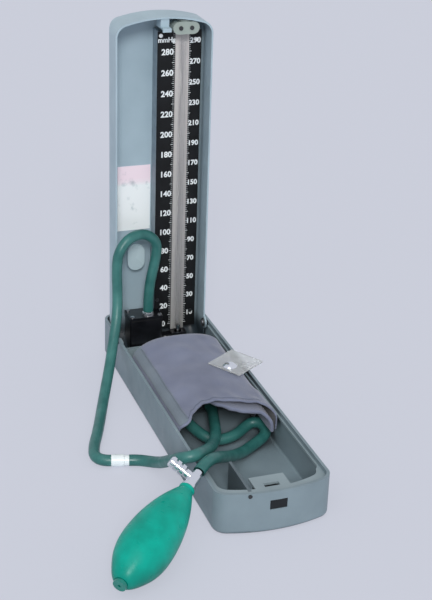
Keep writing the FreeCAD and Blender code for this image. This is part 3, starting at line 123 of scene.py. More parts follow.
class Finish:
    """A material under construction: a Principled shader and the nodes that feed it."""

    def __init__(self, name, colour, roughness, **sockets):
        self.material = bpy.data.materials.new(name)
        self.material.use_nodes = True
        self.tree = self.material.node_tree
        self.shader = self.tree.nodes["Principled BSDF"]
        self.shader.inputs["Base Color"].default_value = colour
        self.shader.inputs["Roughness"].default_value = roughness
        for socket, value in sockets.items():
            self.shader.inputs[socket.replace("_", " ")].default_value = value
        self.height = None

    def node(self, kind, **settings):
        """A new node; each setting is a property of it, or else the value of a socket."""
        made = self.tree.nodes.new(kind)
        for name, value in settings.items():
            if hasattr(made, name):
                setattr(made, name, value)
            else:
                made.inputs[name.replace("_", " ")].default_value = value
        return made

    def link(self, out, into):
        self.tree.links.new(out, into)

    def place(self, kind="Object", stretch=(1, 1, 1)):
        """The coordinates of a point of the piece."""
        where = self.node("ShaderNodeTexCoord").outputs[kind]
        if stretch == (1, 1, 1):
            return where
        mapping = self.node("ShaderNodeMapping")
        mapping.inputs["Scale"].default_value = stretch
        self.link(where, mapping.inputs["Vector"])
        return mapping.outputs["Vector"]

    def axis(self, letter, place=None):
        """One of the coordinates of a point."""
        parts = self.node("ShaderNodeSeparateXYZ")
        self.link(self.place() if place is None else place, parts.inputs["Vector"])
        return parts.outputs[letter]

    def reckon(self, operation, *terms):
        """A sum over terms that are either sockets or plain numbers."""
        made = self.node("ShaderNodeMath", operation=operation)
        for socket, term in zip(made.inputs, terms):
            if isinstance(term, float):
                socket.default_value = term
            else:
                self.link(term, socket)
        return made.outputs[0]

    def remap(self, source, span, onto, interpolation="LINEAR"):
        """Carries a value from one span onto another."""
        reach = self.node("ShaderNodeMapRange", interpolation_type=interpolation)
        for name, value in zip(("From Min", "From Max", "To Min", "To Max"), (*span, *onto)):
            reach.inputs[name].default_value = value
        self.link(source, reach.inputs["Value"])
        return reach.outputs["Result"]

    def grain(self, scale, detail, stretch=(1, 1, 1)):
        """A noise texture over the piece."""
        texture = self.node("ShaderNodeTexNoise", Scale=scale, Detail=detail)
        self.link(self.place(stretch=stretch), texture.inputs["Vector"])
        return texture.outputs["Fac"]

    def spread(self, source, span, colours):
        """Colours between two values of a source."""
        ramp = self.node("ShaderNodeValToRGB")
        for element, position, colour in zip(ramp.color_ramp.elements, span, colours):
            element.position = position
            element.color = colour
        self.link(source, ramp.inputs["Fac"])
        return ramp.outputs["Color"]

    def tint(self, source, span, colours):
        """Base colour that follows a source."""
        self.link(self.spread(source, span, colours), self.shader.inputs["Base Color"])
        return self

    def polish(self, source, span, roughness):
        """Roughness that follows a source."""
        self.link(self.remap(source, span, roughness), self.shader.inputs["Roughness"])
        return self

    def mix(self, share, a, b, **settings):
        """Puts a mix of two colours on the shader."""
        blended = self.node("ShaderNodeMix", data_type="RGBA", **settings)
        if isinstance(share, float):
            blended.inputs["Factor"].default_value = share
        else:
            self.link(share, blended.inputs["Factor"])
        self.link(a, blended.inputs["A"])
        self.link(b, blended.inputs["B"])
        self.link(blended.outputs["Result"], self.shader.inputs["Base Color"])
        return self

    def colour(self):
        """The colour that the shader gets so far."""
        return self.shader.inputs["Base Color"].links[0].from_socket

    def stain(self, veil):
        """Multiplies the colour by another: used for real stains and for painted shade."""
        return self.mix(1.0, self.colour(), veil, blend_type="MULTIPLY")

    def soil(self):
        """Painted shade: darker in corners and under things, where shade falls."""
        open_sky = self.node("ShaderNodeAmbientOcclusion", Distance=SHADE_REACH, samples=8)
        return self.stain(self.remap(open_sky.outputs["AO"], SHADE_SPAN, (SHADE_DEEPEST, 1.0)))

    def relief(self, source, depth, strength):
        """Adds a bump of a depth in millimetres."""
        bump = self.node("ShaderNodeBump", Distance=depth * MM, Strength=strength)
        self.link(source, bump.inputs["Height"])
        if self.height is not None:
            self.link(self.height, bump.inputs["Normal"])
        self.height = bump.outputs["Normal"]
        self.link(self.height, self.shader.inputs["Normal"])
        return self


def moulded(name, dark, light, roughness=0.42):
    """Injection-moulded plastic: a fine spark-eroded grain, faint cloudy shade and scuffs."""
    made = Finish(name, light, roughness, Specular_IOR_Level=0.42)
    made.tint(made.grain(26, 5), NOISE_SPAN, (dark, light))
    made.polish(made.grain(60, 4), NOISE_SPAN, (roughness - 0.06, roughness + 0.1))
    made.relief(made.grain(1400, 2), 0.04, 0.5)
    return made.relief(made.grain(240, 4, (1, 1, 0.12)), 0.02, 0.35)


def rubber(name, dark, light, roughness=0.45):
    """Dipped rubber: cloudy colour on a slightly uneven skin."""
    made = Finish(name, light, roughness, Specular_IOR_Level=0.5)
    made.tint(made.grain(70, 5), (0.32, 0.68), (dark, light))
    made.polish(made.grain(160, 3), NOISE_SPAN, (roughness - 0.08, roughness + 0.1))
    return made.relief(made.grain(900, 3), 0.03, 0.3)


def bright(name, colour, roughness, brushed=(1, 1, 1)):
    """Plated or polished metal with fine handling marks."""
    made = Finish(name, colour, roughness, Metallic=1.0)
    made.polish(made.grain(500, 4, brushed), NOISE_SPAN, (roughness * 0.6, roughness * 1.7))
    return made.relief(made.grain(220, 2, brushed), 0.02, 0.3)


def lacquer(name, colour, roughness, coat=0.3):
    """A hard clear-coated skin, very slightly uneven."""
    made = Finish(name, colour, roughness, Coat_Weight=coat, Coat_Roughness=0.12)
    return made.relief(made.grain(700, 3), 0.03, 0.4)


def enamel(name, dark, light, roughness, coat=0.3):
    """Glossy paint or print, a little cloudy."""
    made = lacquer(name, light, roughness, coat)
    return made.tint(made.grain(90, 4), NOISE_SPAN, (dark, light))


def scale_sheet(name):
    """Black-printed face; the bent sides and the back keep the bare grey primer."""
    made = enamel(name, tone(10, 11, 12), tone(20, 22, 24), 0.5, coat=0.0)
    made.shader.inputs["Specular IOR Level"].default_value = 0.25
    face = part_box("scale_plate")[0][1]
    behind = made.reckon("GREATER_THAN", made.axis("Y"), face + 0.0003)
    primer = made.spread(made.grain(120, 4), NOISE_SPAN, (tone(128, 142, 152),
                                                          tone(146, 160, 169)))
    return made.mix(behind, made.colour(), primer)


def lid_plastic(name):
    """The lid's plastic, with painted shade on its inside below the tray's rim."""
    made = moulded(name, tone(160, 180, 190), tone(172, 192, 202))
    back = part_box("label_plate")[1][1]
    outside = made.reckon("GREATER_THAN", made.axis("Y"), back + 0.0005)
    # outside, a metre is added to the height, which lifts it past the painted shade
    height = made.reckon("ADD", made.axis("Z"), outside)
    # painted shade: darker below the tray's rim
    return made.stain(made.spread(height, (0.026, 0.038), (tone(70, 76, 80), UNSTAINED_UNSHADED)))


def glass(name):
    """Thin clear glass that hardly bends what is behind it."""
    made = Finish(name, (0.985, 0.99, 0.99, 1), 0.02, Transmission_Weight=1.0, IOR=1.04)
    return made.polish(made.grain(300, 3), (0.4, 0.7), (0.01, 0.05))


def clear_film(name):
    """Soft clear plastic, wavy and handled."""
    made = Finish(name, (0.93, 0.95, 0.94, 1), 0.16, Transmission_Weight=0.72, IOR=1.32)
    made.polish(made.grain(45, 4), NOISE_SPAN, (0.1, 0.36))
    return made.relief(made.grain(55, 3), 0.6, 0.6)


def paper(name):
    """Bare card with a pink band at its head, a little smudged."""
    made = Finish(name, tone(248, 252, 252), 0.6)
    fibre = made.grain(380, 5)
    height = made.reckon("MULTIPLY_ADD", fibre, 0.003, made.axis("Z"))
    made.tint(height, (0.1772, 0.1806), (tone(249, 253, 253), tone(251, 232, 240)))
    made.stain(made.spread(made.grain(105, 3), (0.60, 0.76), (UNSTAINED_UNSHADED, tone(206, 214, 216))))
    return made.relief(fibre, 0.04, 0.6)


def aged_strip(name):
    """The card behind the tube, darker towards its foot."""
    made = Finish(name, tone(200, 196, 192), 0.6)
    made.tint(made.axis("Z"), (0.02, 0.33), (tone(146, 145, 143), tone(202, 197, 193)))
    return made.relief(made.grain(300, 4), 0.03, 0.5)


def scale_screw(name):
    """White lacquered heads at the top, dark ones below."""
    made = lacquer(name, tone(44, 46, 48), 0.3)
    return made.tint(made.axis("Z"), (0.30, 0.301), (tone(40, 42, 44), tone(243, 246, 246)))


def woven(name, dark, light, thread=0.0006):
    """Close plain weave, from threads along and across the cloth's own UV map."""
    made = Finish(name, light, 0.88, Sheen_Weight=0.3, Sheen_Roughness=0.5)
    threads = []
    for along in ("X", "Y"):
        wave = made.node("ShaderNodeTexWave", wave_type="BANDS", bands_direction=along,
                         wave_profile="SIN", Scale=1 / thread / WAVE_RATE, Distortion=0.8,
                         Detail=2, Detail_Scale=2)
        made.link(made.place("UV"), wave.inputs["Vector"])
        threads.append(wave.outputs["Fac"])
    weave = made.reckon("MULTIPLY", *threads)
    made.tint(made.reckon("MULTIPLY_ADD", weave, 0.12, made.grain(30, 5)), (0.3, 0.8),
              (dark, light))
    made.relief(weave, 0.12, 0.6)
    return made.relief(made.grain(70, 4), 0.6, 0.3)


def bulb_rubber(name):
    """The bulb's rubber, with painted shade at its foot, and the fine raised line that its mould
    left.
    """
    made = rubber(name, tone(0, 150, 132), tone(0, 172, 152), 0.34)
    made.shader.inputs["Specular IOR Level"].default_value = 0.22
    # painted shade: darker towards the table
    made.stain(made.spread(made.axis("Z"), (0.003, 0.030), (tone(168, 172, 172), UNSTAINED_UNSHADED)))
    turned = made.node("ShaderNodeMapping", vector_type="TEXTURE")
    stands = bulb_frame()
    turned.inputs["Location"].default_value = stands.translation
    turned.inputs["Rotation"].default_value = stands.to_euler()
    made.link(made.place(), turned.inputs["Vector"])
    away = made.reckon("ABSOLUTE", made.axis("Y", turned.outputs["Vector"]))
    return made.relief(made.remap(away, (0.0, 0.0006), (1.0, 0.0), "SMOOTHSTEP"), 0.3, 0.8)


def make_finishes():
    made = {
        # the tray's plastic gets painted shade in its corners and under things
        "shell": moulded("shell_plastic", tone(121, 137, 145), tone(133, 150, 158)).soil(),
        "lid": lid_plastic("lid_plastic"),
        "keeper": moulded("keeper_plastic", tone(176, 196, 202), tone(192, 211, 216), 0.2),
        "strike": moulded("strike_grey", tone(160, 180, 190), tone(172, 192, 202), 0.5),
        "frame": moulded("frame_plastic", tone(134, 149, 155), tone(148, 164, 170)),
        "steel": bright("plated_steel", (0.55, 0.56, 0.58, 1), 0.28, (1, 1, 6)),
        "bush": bright("bush_bronze", (0.16, 0.16, 0.15, 1), 0.4),
        "button": moulded("button_plastic", tone(8, 12, 14), tone(16, 21, 24), 0.4),
        # painted shade: a darker grey than the tray's plastic, for the shade on the divider's
        # face
        "divider": moulded("divider_plastic_painted_shade", tone(88, 101, 107), tone(102, 115, 122)),
        "scale": scale_sheet("scale_black"),
        "figures": enamel("figure_white", tone(222, 228, 230), tone(240, 244, 244), 0.45),
        "strip": aged_strip("strip_grey"),
        "glass": glass("tube_glass"),
        "ivory": moulded("ivory_plastic", tone(158, 167, 160), tone(178, 188, 181), 0.4),
        "bracket": moulded("bracket_plastic", tone(142, 153, 147), tone(158, 170, 163), 0.4),
        "dark_metal": enamel("dark_metal", tone(30, 32, 34), tone(46, 48, 50), 0.35),
        "white_screw": scale_screw("scale_screw"),
        "pot": enamel("pot_black", tone(12, 13, 16), tone(26, 27, 31), 0.28),
        "seal": rubber("seal_rubber", tone(22, 22, 23), tone(34, 34, 35)),
        "chrome": bright("chrome", (0.86, 0.88, 0.9, 1), 0.1),
        "mercury": bright("mercury", (0.78, 0.79, 0.8, 1), 0.03),
        "felt": rubber("filter_felt", tone(190, 186, 172), tone(206, 202, 190), 0.9),
        "paper": paper("label_card"),
        "nozzle": bright("nozzle_plate", (0.96, 0.97, 0.98, 1), 0.3),
        "hose": rubber("hose_rubber", tone(38, 98, 94), tone(60, 120, 115), 0.36),
        "nylon": enamel("coupling_white", tone(230, 240, 242), tone(244, 249, 250), 0.22),
        "inlet": enamel("inlet_plastic", tone(4, 112, 100), tone(10, 130, 116), 0.25),
        "bulb": bulb_rubber("bulb_rubber"),
        "cloth": woven("cuff_cloth", tone(104, 110, 132), tone(126, 133, 157)),
        # painted shade: the cloth's inside is a dark copy of its outside, for the shade in the
        # cuff's mouth
        "inner": woven("cuff_inside_painted_shade", tone(42, 45, 54), tone(58, 62, 72)),
        "tape": woven("binding_tape", tone(102, 114, 126), tone(120, 132, 144), 0.0009),
        "thread": rubber("stitch_thread", tone(90, 98, 116), tone(102, 110, 128), 0.7),
        "bladder": rubber("bladder_rubber", tone(22, 24, 28), tone(34, 36, 42), 0.6),
        "film": clear_film("clear_film"),
    }
    return {name: finish.material for name, finish in made.items()}


NODE_FINISH = {
    "base_tray": "shell", "rim_frame": "frame", "frame_rivets": "dark_metal",
    "bay_divider": "divider", "lid_stop_bar": "frame", "hinge_pins": "steel",
    "hinge_bushes": "bush", "latch_housing": "dark_metal", "latch_button": "button",
    "latch_slider": "dark_metal", "lid_shell": "lid", "lid_strike": "strike",
    "label_plate": "paper", "hose_keeper": "keeper", "scale_plate": "scale",
    "scale_screws": "white_screw", "tube_backing": "strip", "glass_tube": "glass",
    "top_bracket": "bracket", "bracket_screws": "dark_metal", "tube_vent_disc": "felt",
    "tube_top_cap": "ivory", "tube_washer": "seal", "reservoir_pot": "pot",
    "reservoir_screws": "steel", "reservoir_gasket": "seal", "reservoir_cover": "pot",
    "cover_screws": "steel", "filter_disc": "felt", "hose_nozzle": "nozzle",
    "mercury_charge": "mercury", "mercury_column": "mercury", "shutoff_cock": "chrome",
    "cuff_bladder": "bladder", "cuff_tab": "film", "cuff_stud": "chrome",
    "coupling_socket": "nylon", "coupling_plug": "nylon", "valve_body": "chrome",
    "valve_knob": "chrome", "valve_needle": "steel", "bulb_inlet_valve": "inlet",
    "inlet_grille": "steel", "inlet_ball": "steel",
}


def dress_nodes(finishes):
    for name, finish in NODE_FINISH.items():
        node = nodes[name]
        node.data.materials.clear()
        node.data.materials.append(finishes[finish])


# ------------------------------------------------------------------ pieces
def to_mesh(name, shape):
    """Turns a shape under construction into a mesh, and lets go of it."""
    mesh = bpy.data.meshes.new(name)
    shape.to_mesh(mesh)
    shape.free()
    return mesh


def show(name, shape, finish, body, smooth=True):
    """Puts a finished shape into the scene, on its body."""
    if isinstance(shape, bmesh.types.BMesh):
        bmesh.ops.recalc_face_normals(shape, faces=shape.faces)
        shape = to_mesh(name, shape)
    piece = bpy.data.objects.new(name, shape)
    scene.collection.objects.link(piece)
    shape.materials.append(finish)
    if smooth:
        for face in shape.polygons:
            face.use_smooth = True
    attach(piece, body)
    return piece


# ------------------------------------------------------------------ hoses
HOSE_DIAMETER = 10.0


def make_hose(name, route, finish):
    """One hose: a smooth line through its route's control points."""
    curve = bpy.data.curves.new(name, "CURVE")
    curve.dimensions = "3D"
    curve.bevel_depth = HOSE_DIAMETER / 2 * MM
    curve.bevel_resolution = 6
    curve.resolution_u = 8
    spline = curve.splines.new("NURBS")
    spline.points.add(len(route) - 1)
    for point, place in zip(spline.points, route):
        point.co = (*mm(*place), 1)
    spline.order_u = 3
    spline.use_endpoint_u = True
    curve.materials.append(finish)
    hose = bpy.data.objects.new(name, curve)
    scene.collection.objects.link(hose)
    return hose


def as_tube(hose):
    """The hose as a mesh, and the line down its middle."""
    bare = bpy.data.objects.new("bare", hose.data.copy())
    bare.data.bevel_depth = 0
    line = [v.co.copy() for v in bpy.data.meshes.new_from_object(bare).vertices]
    mesh = bpy.data.meshes.new_from_object(hose)
    for face in mesh.polygons:
        face.use_smooth = True
    name = hose.name
    for old in (bare, hose):
        bpy.data.objects.remove(old)
    tube = bpy.data.objects.new(name, mesh)
    scene.collection.objects.link(tube)
    return tube, line


# Control points in millimetres. Each route starts at the fitting that holds the hose.
MANOMETER_ROUTE = [
    (-10.5, 148, 50), (-10.5, 148, 64), (-8.5, 147.5, 84), (-4, 147, 104), (-2.5, 145.5, 123),
    (-16, 142, 135.2), (-33, 137, 134.8), (-45.6, 133.2, 121.5), (-47, 132.8, 101),
    (-46.7, 130, 78.3), (-49.5, 122.5, 59), (-56.5, 110, 42), (-65, 92, 25), (-75.5, 70, 12),
    (-85, 47, 6), (-93, 25, 5.4), (-101, 4, 5.4), (-109, -15, 5.4), (-113, -31, 5.4),
    (-108, -40.13, 5.4), (-101, -42, 5.4),
]
CUFF_ROUTE = [
    (-86, -46, 5.4), (-78.5, -48, 5.4), (-72, -52.8, 6), (-67.8, -60.5, 8.8),
    (-65.4, -71.5, 14.5), (-64.4, -85, 23.5), (-64, -98, 32.2), (-63.9, -107.3, 38.8),
    (-63, -113.4, 42.8), (-59, -118.2, 45.6), (-52.4, -119.4, 46.8), (-46.6, -115.2, 45.6),
    (-40.5, -107.6, 41.8), (-33.6, -97.8, 37), (-24.8, -84.5, 31.2), (-16, -68, 26.2),
    (-8, -47.5, 22.4), (-2, -26.5, 19), (3.5, -8, 15.2), (6.5, 2, 14), (6.5, 10, 14),
]
BULB_ROUTE = [
    (-54.5, -136.6, 42.2), (-48.54, -130.844, 44.098), (-41, -124.4, 44),
    (-33, -117, 40.2), (-24, -106, 33), (-12.5, -92, 23), (0, -78, 14.4), (11.5, -67, 9.6),
    (21.5, -58.5, 8.2), (30.6, -52.5, 8.4), (39, -47.2, 10.2), (41.9, -39.9, 12.8),
    (39.2, -32.6, 15.2), (32.4, -29, 14.4), (25, -31.4, 11.4), (16.2, -36.2, 8.8),
    (6, -39.9, 8.2), (-4.5, -40.6, 8.6), (-12.8, -36.6, 10.4), (-18.2, -27.5, 12.8),
    (-21.7, -16.5, 14), (-23, -5.5, 14), (-23, 5, 14),
]


def lay_hoses(finishes):
    """The three hoses; the one from the reservoir, which runs from the lid down to the base, is
    made a fixed mesh on no body.
    """
    for name, node, route in (("reservoir_hose", "manometer_hose", MANOMETER_ROUTE),
                              ("cuff_supply_hose", "cuff_hose", CUFF_ROUTE),
                              ("squeeze_hose", "bulb_hose", BULB_ROUTE)):
        hose = make_hose(name, route, finishes["hose"])
        if node == "manometer_hose":
            hose, middle = as_tube(hose)
            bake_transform(hose)
        else:
            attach(hose, "base")
        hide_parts(node)
    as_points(middle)


# ------------------------------------------------------------------ latch spring
def make_latch_spring(finishes):
    """The return spring, which the button's slider presses against its fixed rear end."""
    wire = nodes["latch_spring"].data.copy()
    wire.materials.clear()
    spring = show("return_spring", wire, finishes["steel"], "base", smooth=False)
    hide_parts("latch_spring")
    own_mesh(spring)


# ------------------------------------------------------------------ bulb
HOSE_END = mm(-54.5, -136.6, 42.2)  # where the hose meets the valve
BULB_AXIS = Vector((0.70118, 0.67713, 0.22325)).normalized()
KNOB_AXIS = Vector((-0.66114, 0.50030, 0.55910))
VALVE_LENGTH = 20
NECK_BORE = 3.9
TAIL = -106.3
BULB_OUTLINE = [
    (5.6, 0.0), (6.5, -0.5), (6.7, -1.6), (6.3, -2.8), (6.5, -4.2), (7.8, -7), (10.0, -12),
    (13.2, -20), (16.4, -30), (18.8, -40), (20.5, -50), (21.4, -60), (21.6, -68),
    (21.1, -76), (19.4, -84), (17.2, -90), (14.3, -96), (11.0, -101.6), (8.2, -105),
    (6.0, -106.5),
]


def bulb_frame():
    """Where the bulb stands: +Z along its axis to the valve, +X towards the valve's knob."""
    side = KNOB_AXIS - BULB_AXIS * KNOB_AXIS.dot(BULB_AXIS)
    side.normalize()
    turn = Matrix((side, BULB_AXIS.cross(side), BULB_AXIS)).transposed().to_4x4()
    return Matrix.Translation(HOSE_END - BULB_AXIS * VALVE_LENGTH * MM) @ turn


def lathe(profile, steps):
    """Spins a list of (radius, height) in millimetres about Z."""
    shape = bmesh.new()
    line = [shape.verts.new((r * MM, 0, h * MM)) for r, h in profile]
    edges = [shape.edges.new(pair) for pair in zip(line, line[1:])]
    bmesh.ops.spin(shape, geom=line + edges, cent=(0, 0, 0), axis=(0, 0, 1),
                   angle=math.tau, steps=steps, use_merge=True)
    bmesh.ops.remove_doubles(shape, verts=shape.verts, dist=1e-6)
    return shape


def soft_line(points, steps):
    """A smooth line through a few points, with so many steps from each to the next."""
    made = []
    ends = [points[0]] + list(points) + [points[-1]]
    for a, b, c, d in zip(ends, ends[1:], ends[2:], ends[3:]):
        for i in range(steps):
            t = i / steps
            made.append(tuple(
                0.5 * (2 * q + (r - p) * t + (2 * p - 5 * q + 4 * r - s) * t * t
                       + (3 * q - p - 3 * r + s) * t ** 3)
                for p, q, r, s in zip(a, b, c, d)))
    return made + [points[-1]]


def make_bulb(finishes):
    outline = [(NECK_BORE, 0.0)] + soft_line(BULB_OUTLINE, 4) + [(5.5, TAIL), (NECK_BORE, TAIL)]
    shape = lathe(outline, 64)
    bmesh.ops.transform(shape, matrix=bulb_frame(), verts=shape.verts)
    bulb = show("squeeze_bulb", shape, finishes["bulb"], "base")
    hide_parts("bulb")


# ------------------------------------------------------------------ scale
ZERO_HEIGHT = 30.5
PER_MMHG = 0.985
FIGURE_DEPTH = 0.25
SIZE_PER_HEIGHT = 1.38  # of the font, for a figure's height
BOLDER = 0.00022  # thickens the strokes, in the font's own measure
FIGURE_LIFT = 0.13  # in front of the scale's face
MARK_LIFT = 0.12
LEFT_FIGURES = (7.0, 5.6)  # middle and height
RIGHT_FIGURES = (33.6, 5.0)
LONG_MARK = (2.4, 0.5)  # length and thickness
SHORT_MARK = (1.5, 0.26)
MARK_EDGES = ((13.9, -1), (27.7, 1))  # where the marks start, and which way they run


def lettering(words):
    """Thin raised figures that face the user: (text, middle x, middle z, height)."""
    together = bmesh.new()
    for text, x, z, height in words:
        curve = bpy.data.curves.new("figure", "FONT")
        curve.body = text
        curve.size = height * SIZE_PER_HEIGHT * MM
        curve.align_x = "CENTER"
        curve.align_y = "CENTER"
        curve.extrude = FIGURE_DEPTH / 2 * MM
        curve.offset = BOLDER
        curve.resolution_u = 3
        holder = bpy.data.objects.new("figure", curve)
        scene.collection.objects.link(holder)
        bpy.context.view_layer.update()
        mesh = bpy.data.meshes.new_from_object(holder)
        bpy.data.objects.remove(holder)
        mesh.transform(Matrix.Translation(mm(x, 0, z)) @ Matrix.Rotation(math.pi / 2, 4, "X"))
        together.from_mesh(mesh)
    return together


def scale_marks():
    """Flat strokes beside the tube, every 2 mmHg and longer every 10."""
    marks = bmesh.new()
    for value in range(0, 301, 2):
        length, thick = SHORT_MARK if value % 10 else LONG_MARK
        for edge, way in MARK_EDGES:
            made = bmesh.ops.create_grid(marks, x_segments=1, y_segments=1, size=0.5)
            bmesh.ops.scale(marks, vec=mm(length, thick, 1), verts=made["verts"])
            bmesh.ops.rotate(marks, cent=(0, 0, 0), matrix=Matrix.Rotation(math.pi / 2, 3, "X"),
                             verts=made["verts"])
            bmesh.ops.translate(marks, vec=mm(edge + way * length / 2, 0,
                                              ZERO_HEIGHT + value * PER_MMHG),
                                verts=made["verts"])
    return marks


def make_scale_figures(finishes):
    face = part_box("scale_plate")[0][1]
    words = [("mmHg", 6.1, 317.6, 4.5)]
    for first, last, (middle, height) in ((0, 280, LEFT_FIGURES), (10, 290, RIGHT_FIGURES)):
        for value in range(first, last + 1, 20):
            words.append((str(value), middle, ZERO_HEIGHT + value * PER_MMHG, height))
    for name, shape, lift in (("scale_figures", lettering(words), FIGURE_LIFT),
                              ("scale_marks", scale_marks(), MARK_LIFT)):
        bmesh.ops.translate(shape, vec=(0, face - lift * MM, 0), verts=shape.verts)
        show(name, shape, finishes["figures"], "lid", smooth=False)


# ------------------------------------------------------------------ cuff
CUFF_SECTION = [
    (-44.2, 6), (-44.9, 17), (-45.2, 26), (-44.4, 32.4), (-39.8, 38.2), (-29.5, 43.0),
    (-15, 46.2), (0, 47.2), (14, 46.7), (29, 45.2), (37.5, 42.4), (42, 37.2), (43.6, 30),
    (43.8, 18), (43.4, 6),
]
CUFF_FRONT = [
    (-45.5, -53.5), (-41, -56.5), (-35.5, -55.5), (-28.5, -46), (-22.5, -40.5), (-14.5, -36.2),
    (-7, -36), (2, -39), (14, -45), (30, -47.5), (36, -50), (40, -55.5), (44, -62),
]
LINING_SECTION = [
    (-12, 42.0), (-2, 42.6), (14, 42.0), (28, 40.4), (35, 38.0), (39, 33.5), (40.2, 28),
    (40.4, 22),
]
LINING_FRONT = [
    (-12, -24), (-2, -38), (8, -47.5), (16, -53), (25, -54.6), (32, -54.8), (37, -60),
    (41, -64),
]
LINING_DEPTH = 52
CUFF_REAR = 102.0
CUFF_LOW = 6.0
CUFF_TOP = 47.2
CUFF_HALF = 45
PATH_STEPS = 400
UV_WIDE, UV_LONG = 0.16, 0.19  # metres of cloth along each side of the UV map
# shares of the way from the mouth to the rear: the top ends, the turn ends
TOP_END = 0.8
TURN_END = 0.92
TURN_SHARE = 0.12
CLOSING_SHARE = 0.08
CLOSING = 0.97  # how nearly the cloth closes behind
SHOULDER = 10.0
REAR_BOW = 7.0
CREASE_X, CREASE_WIDE, CREASE_DEEP = -37.5, 2.2, 0.9
RUMPLE_FROM, RUMPLE_SPAN = 28, 10  # the cloth is uneven from this height on
MOUTH_REACH = 26
# the right side hangs free at the front, where its lower edge is raised
HANG_X = 36
HANG_TOP = 44
HANG_RISE = 17
HANG_FROM, HANG_SPAN = -8, 14
# shares of the section and of the length that the binding covers
BINDING_ACROSS, BINDING_ALONG = (0.192, 0.262), (0.012, 0.82)
# rows of stitches: the first one's two ends, the step to the next, how many, millimetres of lift
SIDE_SEAM = (0.02, 0.03, 0.0135, 57, 1.0)
MOUTH_SEAM = (0.245, 0.249, 0.0082, 58, 0.35)
SIDE_SEAM_ACROSS = 0.252
MOUTH_SEAM_ALONG = 0.024
STITCH_THICK, STITCH_LONG = 0.55 * MM, 1.9 * MM


def between(points, x):
    """Value at x of a smooth line through (x, value) points."""
    if x <= points[0][0]:
        return points[0][1]
    for (a, p), (b, q) in zip(points, points[1:]):
        if x <= b:
            return p + (q - p) * ease((x - a) / (b - a))
    return points[-1][1]


def evenly(points):
    """Points at even steps along a soft line."""
    fine = soft_line(points, 12)
    reach = [0.0]
    for p, q in zip(fine, fine[1:]):
        reach.append(reach[-1] + math.dist(p, q))
    made = []
    for i in range(PATH_STEPS):
        want = reach[-1] * i / (PATH_STEPS - 1)
        j = next((k for k in range(1, len(reach)) if reach[k] >= want - 1e-9), len(reach) - 1)
        t = (want - reach[j - 1]) / max(reach[j] - reach[j - 1], 1e-9)
        made.append(tuple(a + (b - a) * t for a, b in zip(fine[j - 1], fine[j])))
    return made


def ripple(x, y, layer, height):
    """Smooth unevenness; each layer has a pattern of its own."""
    return noise.noise(Vector((x, y, layer))) * height


def drape_top(x, z, front, rear, along):
    """The cloth from the mouth to the rear shoulder, in millimetres."""
    y = front + (rear - SHOULDER - front) * along / TOP_END
    crease = 0.0
    if z > 30:
        crease = CREASE_DEEP * math.exp(-((x - CREASE_X) / CREASE_WIDE) ** 2)
    # broad and fine unevenness, and small pleats near the mouth
    rumple = ripple(x * 0.035, y * 0.028, 3.1, 1.5)
    rumple += ripple(x * 0.10, y * 0.07, 7.7, 0.7)
    near_mouth = ease(1 - (y - front) / MOUTH_REACH)
    rumple += near_mouth * math.sin(x * 0.42 + y * 0.09) * 0.45
    z += (rumple - crease) * ease((z - RUMPLE_FROM) / RUMPLE_SPAN)
    if x > HANG_X and z < HANG_TOP:
        low = CUFF_LOW + HANG_RISE * ease((HANG_FROM - y) / HANG_SPAN)
        z = low + (z - CUFF_LOW) * (HANG_TOP - low) / (HANG_TOP - CUFF_LOW)
    return x, y, z


def drape_rear(x, z, rear, along):
    """The cloth's turn down over the rear shoulder, and its close behind."""
    turn = min(1.0, (along - TOP_END) / TURN_SHARE) * math.pi / 2
    sink = SHOULDER * (1 - math.cos(turn))
    share = 1 - max(0.0, along - TURN_END) / CLOSING_SHARE * CLOSING
    rumple = ripple(x * 0.05, along * 9, 1.3, 0.8)
    return (x * (CUFF_HALF - sink) / CUFF_HALF * share,
            rear - SHOULDER + SHOULDER * math.sin(turn) + rumple,
            CUFF_LOW + (z - CUFF_LOW) * (CUFF_TOP - sink - CUFF_LOW) / (CUFF_TOP - CUFF_LOW)
            * share)


def drape(x, z, along):
    """Where a point of the cuff's section goes, along from its front edge (0) to its rear (1)."""
    rear = CUFF_REAR - REAR_BOW * (x / CUFF_HALF) ** 4
    if along <= TOP_END:
        return drape_top(x, z, between(CUFF_FRONT, x), rear, along)
    return drape_rear(x, z, rear, along)


def drape_lining(x, z, along):
    """Where a point of the lining's section goes, from its front edge (0) inwards (1)."""
    y = between(LINING_FRONT, x) + LINING_DEPTH * along
    return x, y, z + ripple(x * 0.06, y * 0.05, 5.5, 0.8) * ease((z - RUMPLE_FROM) / RUMPLE_SPAN)


def lay_cloth(section, form, columns, rows, across=(0.0, 1.0), along=(0.0, 1.0), lift=0.0):
    """A grid of cloth over shares of a section and of its length, lifted by millimetres."""
    path = evenly(section)
    wide, long = across[1] - across[0], along[1] - along[0]
    shape = bmesh.new()
    bmesh.ops.create_grid(shape, x_segments=columns, y_segments=rows, size=0.5)
    uv = shape.loops.layers.uv.new("cloth")
    for face in shape.faces:
        for loop in face.loops:
            loop[uv].uv = (loop.vert.co.x * UV_WIDE * wide, loop.vert.co.y * UV_LONG * long)
    for vert in shape.verts:
        x, z = path[round((across[0] + wide * (vert.co.x + 0.5)) * (PATH_STEPS - 1))]
        vert.co = mm(*form(x, z, along[0] + long * (vert.co.y + 0.5)))
    shape.normal_update()
    if sum(face.normal.z for face in shape.faces) < 0:
        bmesh.ops.reverse_faces(shape, faces=shape.faces)
    if lift:
        for vert, way in [(v, v.normal.copy()) for v in shape.verts]:
            vert.co += way * lift * MM
    return shape


